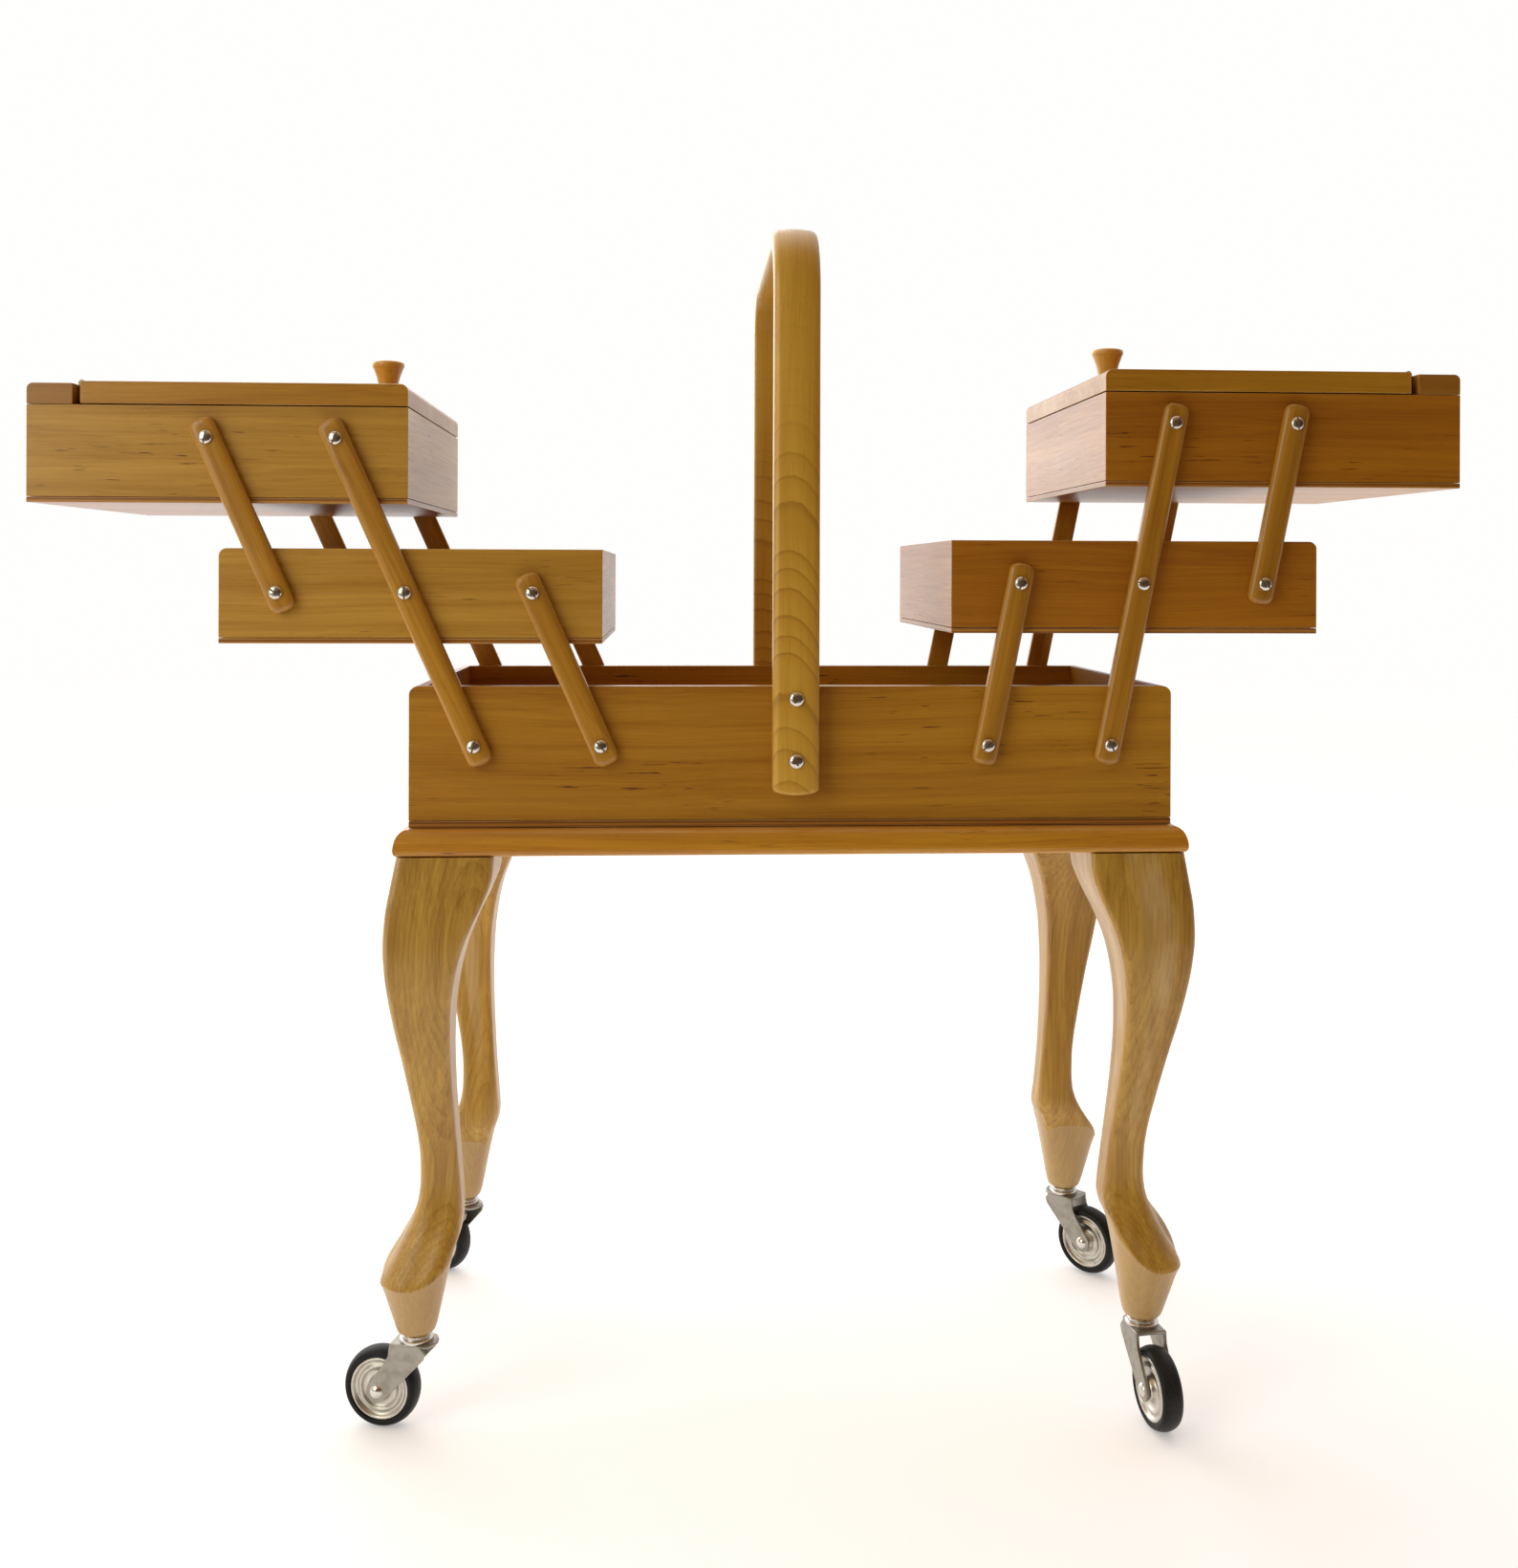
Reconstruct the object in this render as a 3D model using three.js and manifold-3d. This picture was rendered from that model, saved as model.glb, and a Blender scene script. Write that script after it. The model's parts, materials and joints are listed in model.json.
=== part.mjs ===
// Cantilever sewing box on four cabriole legs with swivel casters, both wings part open.
// Millimetres, +Z up, front is -Y. The origin is the centre of the underside of the plinth board.
import * as THREE from "three";
import { mergeVertices } from "three/addons/utils/BufferGeometryUtils.js";
import Module from "manifold-3d";

const wasm = await Module();
wasm.setup();

// ---------- driving dimensions ----------
const GAP = 0.3; // clearance between neighbouring pieces
const DEPTH = 202; // front face to rear face of every box
const HD = DEPTH / 2;

const BOX_W = 430; // base box, end to end
const WALL = 9; // solid wall thickness of the boxes
const RIM_Z = 93.2; // top rim of the base box
const FLOOR_PLY = 3.7; // plywood floor of the base box
const END_ROUND = 5; // rounding where an end wall meets the rim

const PLINTH_W = 444;
const PLINTH_D = 224;
const PLINTH_H = 14.2;

const LINK_HALF = 93.1; // pivot to pivot along a link
const LINK_W = 14;
const LINK_T = 6;
const LINK_OVER = 11.4; // link end beyond its last pivot
const LINK_CLEAR = 0.4; // between a link and the wall it swings on
const PIN_R = 2;
const HOLE_R = 2.4;
const HEAD_R = 3.8;
const LEFT_LEAN = 24.1; // degrees the left links lean outward from upright
const RIGHT_LEAN = 11.4;

const BASE_PIVOT_X = 178.5; // outer pivot of the base, from the middle
const PIVOT_STEP = 70; // between the two pivots a wing has on one wall
const BASE_PIVOT_Z = 60.2;

const MID_W = 211;
const MID_H = 52.6;
const MID_PIVOT_UP = 28.3; // above the tray's underside
const MID_INNER = 108.4; // shared pivot to the tray's inner end
const TRAY_PLY = 3; // plywood floor of a tray
const TRAY_WALL = 8;

const TOP_W = 207;
const TOP_SEAM = 53.7; // wall height of the top tray, floor included
const LID_T = 12.4;
const TOP_PIVOT_UP = 35.9;
const TOP_INNER = 38.6;
const RAIL_W = 24.6; // fixed strip the lid is hinged to
const HINGE_GAP = 4.2;
const KNOB_IN = 29; // knob centre from the lid's inner end

const HANDLE_W = 26;
const HANDLE_T = 12;
const HANDLE_LOW = 33.3;
const HANDLE_TOP = 355.8;
const HANDLE_BEND = 36; // centre-line radius of the two bends
const HANDLE_SCREWS = [52.3, 86.8];

const FLOOR_Z = -321; // where the casters touch the ground
const LEG_TOP = -GAP;
const LEG_LOW = -266;
const LEG_SHIFT = 109; // the leg profile is the same in X and Y, this much closer to the middle in Y
// outer face and inner face of the leg against height; both faces of the square section share it
const LEG_OUT = [
  [0, 220.5], [-16, 223], [-32, 225.3], [-48, 226], [-64, 224.9], [-80, 222.6], [-96, 219.6],
  [-112, 216.1], [-128, 212.8], [-144, 209.7], [-160, 206.8], [-172, 205.5], [-184, 205.3],
  [-194, 206.2], [-204, 209], [-212, 212.8], [-221, 217.4], [-229, 222], [-235, 224.6],
  [-238, 223.6], [-250, 219.8], [-266, 215.2],
];
const LEG_IN = [
  [0, 166.8], [-12, 167.6], [-24, 171.4], [-40, 178.5], [-56, 184], [-72, 187], [-88, 188.5],
  [-104, 188.7], [-128, 187.8], [-152, 186], [-176, 183.9], [-192, 182.3], [-208, 181.4],
  [-219, 182], [-229, 184.4], [-240, 187.2], [-252, 190.7], [-266, 194.3],
];
const LEG_LEAN = { fl: -0.0206, fr: -0.015, rl: -0.0142, rr: -0.005 }; // sideways drift per mm of height, towards +X when positive

const WHEEL_R = 22;
const TYRE_W = 12;
const CASTER_TRAIL = 20;
// way each wheel trails from its leg, degrees anticlockwise from +X seen from above
const CASTER_TURN = { fl: 165, fr: 279, rr: 313, rl: 145 };

// ---------- solids ----------
function toSolid(geometry) {
  const g = geometry.index ? geometry.toNonIndexed() : geometry.clone();
  for (const k of Object.keys(g.attributes)) if (k !== "position") g.deleteAttribute(k);
  const m = mergeVertices(g, 1e-4);
  const make = (tri) =>
    new wasm.Manifold(new wasm.Mesh({ numProp: 3, vertProperties: m.attributes.position.array, triVerts: tri }));
  const tri = new Uint32Array(m.index.array);
  const s = make(tri);
  if (s.volume() >= 0) return s;
  for (let i = 0; i < tri.length; i += 3) [tri[i + 1], tri[i + 2]] = [tri[i + 2], tri[i + 1]];
  return make(tri);
}
function toGeometry(solid) {
  const m = solid.getMesh();
  const v = new Float32Array(m.numVert * 3);
  for (let i = 0; i < m.numVert; i++) for (let k = 0; k < 3; k++) v[3 * i + k] = m.vertProperties[i * m.numProp + k];
  const g = new THREE.BufferGeometry();
  g.setAttribute("position", new THREE.BufferAttribute(v, 3));
  g.setIndex(new THREE.BufferAttribute(new Uint32Array(m.triVerts), 1));
  const flat = g.toNonIndexed();
  flat.computeVertexNormals();
  return flat;
}
const root = new THREE.Group();
const LOOKS = {
  box_wood: [0xb9802f, 0.42, 0], ply: [0xa9803f, 0.5, 0], beech: [0xc99f5c, 0.45, 0], leg_wood: [0xc9a468, 0.48, 0],
  nickel: [0xb9b6ae, 0.3, 0.9], rubber: [0x17181a, 0.7, 0], zinc: [0x9c988e, 0.4, 0.85], brass: [0xa98b4a, 0.4, 0.8],
};
function add(name, solid, look) {
  const [color, roughness, metalness] = LOOKS[look];
  const mesh = new THREE.Mesh(toGeometry(solid), new THREE.MeshStandardMaterial({ color, roughness, metalness }));
  mesh.name = name;
  root.add(mesh);
}
const box = (x0, x1, y0, y1, z0, z1) => {
  const g = new THREE.BoxGeometry(x1 - x0, y1 - y0, z1 - z0);
  g.translate((x0 + x1) / 2, (y0 + y1) / 2, (z0 + z1) / 2);
  return toSolid(g);
};
// outline [[x, z], ...] drawn from the front, run from y0 to y1
function slab(outline, y0, y1, holes = []) {
  const shape = new THREE.Shape(outline.map(([x, z]) => new THREE.Vector2(x, z)));
  for (const [hx, hz, r, n] of holes) {
    const p = new THREE.Path();
    for (let i = 0; i <= n; i++) {
      const a = (-2 * Math.PI * i) / n;
      i ? p.lineTo(hx + r * Math.cos(a), hz + r * Math.sin(a)) : p.moveTo(hx + r, hz);
    }
    shape.holes.push(p);
  }
  const g = new THREE.ExtrudeGeometry(shape, { depth: y1 - y0, bevelEnabled: false, curveSegments: 1 });
  g.rotateX(Math.PI / 2);
  g.translate(0, y1, 0);
  return toSolid(g);
}
const arc = (cx, cz, r, a0, a1, n) =>
  Array.from({ length: n + 1 }, (_, i) => {
    const a = ((a0 + ((a1 - a0) * i) / n) * Math.PI) / 180;
    return [cx + r * Math.cos(a), cz + r * Math.sin(a)];
  });
// turned piece: profile [[radius, height], ...] about +Y
function turned(profile, segments) {
  return new THREE.LatheGeometry(profile.map(([r, h]) => new THREE.Vector2(r, h)), segments);
}
// turned piece standing out of a wall: side -1 is the front, +1 the rear; height is measured from the wall face at y
function studAt(profile, segments, x, z, side, y = HD) {
  const g = turned(profile, segments);
  if (side < 0) g.rotateX(Math.PI);
  g.translate(x, side * y, z);
  return toSolid(g);
}
const SHANK = LINK_CLEAR + LINK_T + GAP;
const PIVOT = [[0, -1], [PIN_R, -1], [PIN_R, SHANK], [HEAD_R, SHANK], [HEAD_R, SHANK + 0.9], [2.2, SHANK + 2.1], [0, SHANK + 2.4]];

// ---------- boxes ----------
function boxWalls(x0, x1, z0, z1, wall, roundLeft, roundRight) {
  const outline = [[x0, z0], [x1, z0]];
  if (roundRight) outline.push(...arc(x1 - roundRight, z1 - roundRight, roundRight, 0, 90, 3));
  else outline.push([x1, z1]);
  if (roundLeft) outline.push(...arc(x0 + roundLeft, z1 - roundLeft, roundLeft, 90, 180, 3));
  else outline.push([x0, z1]);
  return slab(outline, -HD, HD).subtract(box(x0 + wall, x1 - wall, -HD + wall, HD - wall, z0 - 5, z1 + 5));
}
function withPivots(walls, spots) {
  let s = walls;
  for (const [x, z] of spots) for (const side of [-1, 1]) s = s.add(studAt(PIVOT, 8, x, z, side));
  return s;
}

// plinth board with a rounded edge that is widest near the bottom
{
  const rows = [[7, PLINTH_H], [4.2, PLINTH_H - 0.8], [1.9, PLINTH_H - 3.2], [0.4, PLINTH_H - 7], [0, 3.6], [0.6, 1.2], [2, 0]];
  const pos = [];
  const quad = (a, b, c, d) => pos.push(...a, ...b, ...c, ...a, ...c, ...d);
  const ring = ([inset, z]) => {
    const hx = PLINTH_W / 2 - inset, hy = PLINTH_D / 2 - inset, c = 2.5;
    return [[hx - c, -hy, z], [hx, -hy + c, z], [hx, hy - c, z], [hx - c, hy, z], [-hx + c, hy, z], [-hx, hy - c, z], [-hx, -hy + c, z], [-hx + c, -hy, z]];
  };
  const rings = rows.map(ring);
  for (let r = 0; r + 1 < rings.length; r++)
    for (let i = 0; i < 8; i++) quad(rings[r][i], rings[r][(i + 1) % 8], rings[r + 1][(i + 1) % 8], rings[r + 1][i]);
  for (let i = 1; i < 7; i++) pos.push(...rings[0][0], ...rings[0][i + 1], ...rings[0][i]);
  // underside: one large facet in the middle, between the legs, and the rest of the board round it
  const rim = rings[rings.length - 1], pad = [[-150, -50], [150, -50], [0, 52]];
  const flat = [...rim.map(([x, y]) => [x, y]), ...pad].map(([x, y]) => [x, y, 0]);
  const faces = THREE.ShapeUtils.triangulateShape(rim.map(([x, y]) => new THREE.Vector2(x, y)), [pad.map(([x, y]) => new THREE.Vector2(x, y))]);
  for (const t of [...faces, [8, 9, 10]]) {
    let [a, b, c] = t.map((i) => flat[i]);
    if ((b[0] - a[0]) * (c[1] - a[1]) - (b[1] - a[1]) * (c[0] - a[0]) < 0) [b, c] = [c, b];
    pos.push(...a, ...b, ...c);
  }
  const g = new THREE.BufferGeometry().setAttribute("position", new THREE.Float32BufferAttribute(pos, 3));
  add("plinth", toSolid(g), "box_wood");
}

const FLOOR_Z0 = PLINTH_H + GAP;
const WALL_Z0 = FLOOR_Z0 + FLOOR_PLY + GAP;
add("base_floor", box(-BOX_W / 2, BOX_W / 2, -HD, HD, FLOOR_Z0, FLOOR_Z0 + FLOOR_PLY), "ply");
{
  let s = boxWalls(-BOX_W / 2, BOX_W / 2, WALL_Z0, RIM_Z, WALL, END_ROUND, END_ROUND);
  const spots = [];
  for (const k of [-1, 1]) spots.push([k * BASE_PIVOT_X, BASE_PIVOT_Z], [k * (BASE_PIVOT_X - PIVOT_STEP), BASE_PIVOT_Z]);
  s = withPivots(s, spots);
  for (const side of [-1, 1])
    for (const z of HANDLE_SCREWS) s = s.subtract(studAt([[0, -6.5], [2.3, -6.5], [2.3, 3], [0, 3]], 10, 0, z, side));
  add("base_walls", s, "box_wood");
}

// one wing: s is -1 for the left wing, +1 for the right one
function link(px, pz, count, leanDeg, s, side) {
  const len = (count - 1) * LINK_HALF;
  const w = LINK_W / 2, e = LINK_OVER, c = 3.6;
  const end = [[w, e - 5.2], [w - 1.1, e - 2.2], [w - c, e - 0.7], [0, e]];
  const top = [...end, ...end.slice(0, -1).reverse().map(([x, z]) => [-x, z])].map(([x, z]) => [x, z + len]);
  const low = [...end, ...end.slice(0, -1).reverse().map(([x, z]) => [-x, z])].map(([x, z]) => [-x, -z]);
  const a = (s * leanDeg * Math.PI) / 180;
  const turn = ([x, z]) => [px + x * Math.cos(a) + z * Math.sin(a), pz - x * Math.sin(a) + z * Math.cos(a)];
  const outline = [...top, ...low].map(turn);
  const holes = Array.from({ length: count }, (_, i) => [...turn([0, i * LINK_HALF]), HOLE_R, 10]);
  const y = HD + LINK_CLEAR;
  return side < 0 ? slab(outline, -y - LINK_T, -y, holes) : slab(outline, y, y + LINK_T, holes);
}
function wing(tag, s, lean) {
  const a = (lean * Math.PI) / 180;
  const dx = s * LINK_HALF * Math.sin(a), dz = LINK_HALF * Math.cos(a);
  const b1 = [s * BASE_PIVOT_X, BASE_PIVOT_Z], b2 = [s * (BASE_PIVOT_X - PIVOT_STEP), BASE_PIVOT_Z];
  const m1 = [b1[0] + dx, b1[1] + dz], m2 = [b2[0] + dx, b2[1] + dz], m3 = [m1[0] + s * PIVOT_STEP, m1[1]];
  const t1 = [m1[0] + dx, m1[1] + dz], t2 = [m3[0] + dx, m3[1] + dz];
  for (const [end, side] of [["front", -1], ["rear", 1]]) {
    add(`${tag}_long_link_${end}`, link(b1[0], b1[1], 3, lean, s, side), "beech");
    add(`${tag}_lower_link_${end}`, link(b2[0], b2[1], 2, lean, s, side), "beech");
    add(`${tag}_upper_link_${end}`, link(m3[0], m3[1], 2, lean, s, side), "beech");
  }
  const span = (inner, width) => (s > 0 ? [inner, inner + width] : [inner - width, inner]);

  // middle tray
  const [mx0, mx1] = span(m1[0] - s * MID_INNER, MID_W);
  const mz = m1[1] - MID_PIVOT_UP;
  add(`${tag}_mid_floor`, box(mx0, mx1, -HD, HD, mz, mz + TRAY_PLY), "ply");
  add(
    `${tag}_mid_walls`,
    withPivots(boxWalls(mx0, mx1, mz + TRAY_PLY + GAP, mz + MID_H, TRAY_WALL, s < 0 ? 4.5 : 0, s > 0 ? 4.5 : 0), [m1, m2, m3]),
    "box_wood",
  );

  // top tray
  const inner = t1[0] - s * TOP_INNER;
  const [tx0, tx1] = span(inner, TOP_W);
  const tz = t1[1] - TOP_PIVOT_UP;
  const seam = tz + TOP_SEAM;
  add(`${tag}_top_floor`, box(tx0, tx1, -HD, HD, tz, tz + TRAY_PLY), "ply");
  add(`${tag}_top_walls`, withPivots(boxWalls(tx0, tx1, tz + TRAY_PLY + GAP, seam, TRAY_WALL, 0, 0), [t1, t2]), "box_wood");

  // fixed rail at the outer end, its outer top edge rounded
  const outer = inner + s * TOP_W;
  const railIn = outer - s * RAIL_W;
  const railTop = seam + GAP + LID_T - 0.8;
  const r = 3.4;
  const corner = arc(0, 0, r, 0, 90, 3).map(([x, z]) => [outer + s * (x - r), railTop - r + z]);
  let rail = [[railIn, seam + GAP], [outer, seam + GAP], ...corner, [railIn, railTop]];
  if (s < 0) rail = rail.reverse();
  add(`${tag}_lid_rail`, slab(rail, -HD, HD), "box_wood");

  // lid, its inner top edge rounded
  const lidOut = railIn - s * HINGE_GAP;
  const lz0 = seam + 0.7, lz1 = seam + 0.7 + LID_T;
  const lr = 4.4;
  const lc = arc(0, 0, lr, 90, 180, 3).map(([x, z]) => [inner + s * (lr + x), lz1 - lr + z]);
  let lid = [[lidOut, lz0], [lidOut, lz1], ...lc, [inner, lz0]];
  if (s > 0) lid = lid.reverse();
  const knobX = inner + s * KNOB_IN;
  let lidSolid = slab(lid, -HD, HD);
  const dowel = turned([[0, -7], [3.4, -7], [3.4, 2], [0, 2]], 10);
  dowel.rotateX(Math.PI / 2);
  dowel.translate(knobX, 0, lz1);
  lidSolid = lidSolid.subtract(toSolid(dowel));
  add(`${tag}_lid`, lidSolid, "box_wood");

  // knob with its dowel let into the lid
  const knob = turned([[0, -6.6], [3, -6.6], [3, GAP], [6.6, GAP], [5.7, 7], [6.6, 14], [9.5, 20], [9.9, 23], [8.4, 25.4], [0, 26]], 12);
  knob.rotateX(Math.PI / 2);
  knob.translate(knobX, 0, lz1);
  add(`${tag}_knob`, toSolid(knob), "beech");

  // hinge: rail leaf with two end knuckles and the pin, lid leaf with the long middle knuckle
  const ax = railIn - s * (HINGE_GAP / 2), az = lz1 + 0.25;
  const R = 1.45, half = HD - 8, mid = 46;
  const rod = (rad, y0, y1, n, turnBy = 0) => {
    const g = new THREE.CylinderGeometry(rad, rad, y1 - y0, n, 1);
    g.rotateY(turnBy);
    g.translate(ax, (y0 + y1) / 2, az);
    return toSolid(g);
  };
  const plate = (side2, y0, y1, z0, z1, near, far) => {
    const xa = ax + side2 * near, xb = ax + side2 * far;
    return box(Math.min(xa, xb), Math.max(xa, xb), y0, y1, az + z0, az + z1);
  };
  let railLeaf = plate(s, -half, half, -10.5, -1.9, 1.05, 1.85);
  for (const [y0, y1] of [[-half, -mid - 0.4], [mid + 0.4, half]])
    railLeaf = railLeaf.add(rod(R, y0, y1, 10)).add(plate(s, y0, y1, -2.4, 0.2, 0.6, 1.85));
  railLeaf = railLeaf.add(rod(0.55, -half + 4, half - 4, 8));
  add(`${tag}_hinge_rail_leaf`, railLeaf, "brass");
  const lidLeaf = plate(-s, -half, half, -10.5, -1.9, 1.05, 1.85)
    .add(rod(R, -mid, mid, 10))
    .add(plate(-s, -mid, mid, -2.4, 0.2, 0.6, 1.85))
    .subtract(rod(0.9, -mid - 1, mid + 1, 8));
  add(`${tag}_hinge_lid_leaf`, lidLeaf, "brass");
}
wing("left", -1, LEFT_LEAN);
wing("right", 1, RIGHT_LEAN);

// ---------- handle ----------
{
  const yc = HD + GAP + HANDLE_T / 2, zc = HANDLE_TOP - HANDLE_T / 2, r = HANDLE_BEND;
  const path = [[-yc, HANDLE_LOW], [-yc, zc - r]];
  for (let i = 1; i <= 5; i++) {
    const a = Math.PI - (Math.PI / 2) * (i / 5);
    path.push([-yc + r + r * Math.cos(a), zc - r + r * Math.sin(a)]);
  }
  const mirrored = path.map(([y, z]) => [-y, z]).reverse();
  const line = [...path, ...mirrored];
  // section across the strap: width along X, thickness outward
  const hw = HANDLE_W / 2, ht = HANDLE_T / 2;
  const section = [[-hw, ht - 4.2], [-hw + 1.5, ht - 1.4], [-hw + 4.6, ht], [hw - 4.6, ht], [hw - 1.5, ht - 1.4], [hw, ht - 4.2], [hw, -ht + 1.6], [hw - 1.6, -ht], [-hw + 1.6, -ht], [-hw, -ht + 1.6]];
  const rings = line.map(([y, z], i) => {
    const p = line[Math.max(0, i - 1)], q = line[Math.min(line.length - 1, i + 1)];
    let ty = q[0] - p[0], tz = q[1] - p[1];
    const l = Math.hypot(ty, tz);
    (ty /= l), (tz /= l);
    return section.map(([x, o]) => [x, y - tz * o, z + ty * o]);
  });
  const pos = [], n = section.length;
  for (let k = 0; k + 1 < rings.length; k++)
    for (let i = 0; i < n; i++) {
      const a = rings[k][i], b = rings[k][(i + 1) % n], c = rings[k + 1][(i + 1) % n], d = rings[k + 1][i];
      pos.push(...a, ...b, ...c, ...a, ...c, ...d);
    }
  for (let i = 1; i + 1 < n; i++) {
    pos.push(...rings[0][0], ...rings[0][i + 1], ...rings[0][i]);
    const e = rings[rings.length - 1];
    pos.push(...e[0], ...e[i], ...e[i + 1]);
  }
  let s = toSolid(new THREE.BufferGeometry().setAttribute("position", new THREE.Float32BufferAttribute(pos, 3)));
  for (const side of [-1, 1])
    for (const z of HANDLE_SCREWS) s = s.subtract(studAt([[0, -2], [2.3, -2], [2.3, 20], [0, 20]], 10, 0, z, side));
  add("handle", s, "beech");
  const y0 = GAP + HANDLE_T + GAP;
  for (const [side, e] of [[-1, "front"], [1, "rear"]])
    HANDLE_SCREWS.forEach((z, i) =>
      add(
        `handle_screw_${e}_${i ? "upper" : "lower"}`,
        studAt([[0, -6], [1.9, -6], [1.9, y0], [4.2, y0], [4.2, y0 + 0.9], [2.6, y0 + 2.2], [0, y0 + 2.6]], 12, 0, z, side),
        "nickel",
      ),
    );
}

// ---------- legs ----------
const at = (rows, z) => {
  for (let i = 0; i + 1 < rows.length; i++)
    if (z <= rows[i][0] && z >= rows[i + 1][0]) {
      const t = (z - rows[i][0]) / (rows[i + 1][0] - rows[i][0]);
      return rows[i][1] + t * (rows[i + 1][1] - rows[i][1]);
    }
  return rows[rows.length - 1][1];
};
const LEG_ROWS = [0, -12, -24, -38, -54, -72, -92, -112, -134, -156, -174, -190, -202, -212, -221, -229, -235, -238, -266];
function leg(tag, sx, sy) {
  const rings = LEG_ROWS.map((z) => {
    const o = at(LEG_OUT, z), i = at(LEG_IN, z);
    const c = Math.min(3.2, 0.14 * (o - i)) + 0.2 * (o - i) * Math.min(Math.max((-170 - z) / 60, 0), 1); // the foot grows rounder than the leg
    const lean = LEG_LEAN[tag] * -z;
    const zz = z === 0 ? LEG_TOP : z;
    // counter-clockwise from above, for the +X +Y leg
    const p = [[i + c, i], [o - c, i], [o, i + c], [o, o - c], [o - c, o], [i + c, o], [i, o - c], [i, i + c]];
    return p.map(([x, y]) => [sx * x + lean, sy * (y - LEG_SHIFT), zz]);
  });
  const pos = [], n = 8;
  for (let k = 0; k + 1 < rings.length; k++)
    for (let i = 0; i < n; i++) {
      const a = rings[k][i], b = rings[k][(i + 1) % n], c = rings[k + 1][(i + 1) % n], d = rings[k + 1][i];
      pos.push(...a, ...c, ...b, ...a, ...d, ...c);
    }
  const e = rings[rings.length - 1];
  for (let i = 1; i + 1 < n; i++) {
    pos.push(...rings[0][0], ...rings[0][i], ...rings[0][i + 1]);
    pos.push(...e[0], ...e[i + 1], ...e[i]);
  }
  let s = toSolid(new THREE.BufferGeometry().setAttribute("position", new THREE.Float32BufferAttribute(pos, 3)));
  const cx = (sx * (at(LEG_OUT, LEG_LOW) + at(LEG_IN, LEG_LOW))) / 2 + LEG_LEAN[tag] * -LEG_LOW;
  const cy = sy * ((at(LEG_OUT, LEG_LOW) + at(LEG_IN, LEG_LOW)) / 2 - LEG_SHIFT);
  const socket = turned([[0, -3], [4.6, -3], [4.6, 30], [0, 30]], 10);
  socket.rotateX(Math.PI / 2);
  socket.translate(cx, cy, LEG_LOW);
  s = s.subtract(toSolid(socket));
  add(`leg_${tag}`, s, "leg_wood");
  caster(tag, cx, cy);
}

// ---------- casters ----------
function caster(tag, cx, cy) {
  const place = (solid) => solid.rotate([0, 0, CASTER_TURN[tag]]).translate([cx, cy, 0]);
  const top = LEG_LOW - GAP, wz = FLOOR_Z + WHEEL_R, wx = CASTER_TRAIL;
  // everything is drawn trailing towards +X, then turned about the stem
  const stem = turned([[0, top - 5], [9, top - 5], [9, top - 3], [7.2, top], [4, top], [4, top + 28], [0, top + 29.6]], 10);
  stem.rotateX(Math.PI / 2);
  const hy = TYRE_W / 2 + 1.4, t = 1.9;
  const plateOutline = [[-9.5, top - 6.4], [11.5, top - 6.4], [11.5, top - 4.4], [-9.5, top - 4.4]];
  let fork = toSolid(stem).add(slab(plateOutline, -hy - t, hy + t));
  const arm = [[-9.5, top - 4.4], [-9.5, top - 11], [-6, top - 14.5], [wx - 5.5, wz - 4.6], [wx - 1.5, wz - 6.2], [wx + 3.2, wz - 5.2], [wx + 6, wz - 0.8], [wx + 5.4, wz + 3], [11.5, top - 11], [11.5, top - 4.4]];
  for (const k of [-1, 1]) {
    const y0 = k < 0 ? -hy - t : hy;
    fork = fork.add(slab(arm, y0, y0 + t, [[wx, wz, 2.5, 10]]));
  }
  add(`caster_${tag}_fork`, place(fork), "zinc");
  const spin = (profile, n) => {
    const g = turned(profile, n);
    g.translate(wx, 0, wz);
    // the lathe axis is +Y, which is already the axle
    return toSolid(g);
  };
  const out = hy + t + 0.2;
  add(
    `caster_${tag}_axle`,
    place(spin([[0, -out - 1.7], [2.6, -out - 1.4], [3.9, -out - 0.4], [3.9, -out], [2.1, -out], [2.1, out], [3.9, out], [3.9, out + 0.4], [2.6, out + 1.4], [0, out + 1.7]], 10)),
    "nickel",
  );
  add(
    `caster_${tag}_wheel`,
    place(spin([[2.5, -7], [5.6, -7], [6.4, -4.4], [12, -3.4], [16.6, -5.2], [16.6, 5.2], [12, 3.4], [6.4, 4.4], [5.6, 7], [2.5, 7], [2.5, -7]], 14)),
    "nickel",
  );
  add(
    `caster_${tag}_tyre`,
    place(spin([[17.1, -5.4], [18.4, -TYRE_W / 2], [WHEEL_R - 1.6, -TYRE_W / 2 + 1], [WHEEL_R, 0], [WHEEL_R - 1.6, TYRE_W / 2 - 1], [18.4, TYRE_W / 2], [17.1, 5.4], [17.1, -5.4]], 20)),
    "rubber",
  );
}
leg("fl", -1, -1);
leg("fr", 1, -1);
leg("rl", -1, 1);
leg("rr", 1, 1);

export default root;
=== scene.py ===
"""Looks for the cantilever sewing box: lacquered boards, bandsawn legs, bentwood handle, link arms, screws and casters.
Lengths in the helpers are millimetres in the CAD frame; a mesh is turned into metres when it becomes a piece."""
import json
import math
import random

import bmesh
import bpy
import numpy as np
from mathutils import Matrix, Vector


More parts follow.
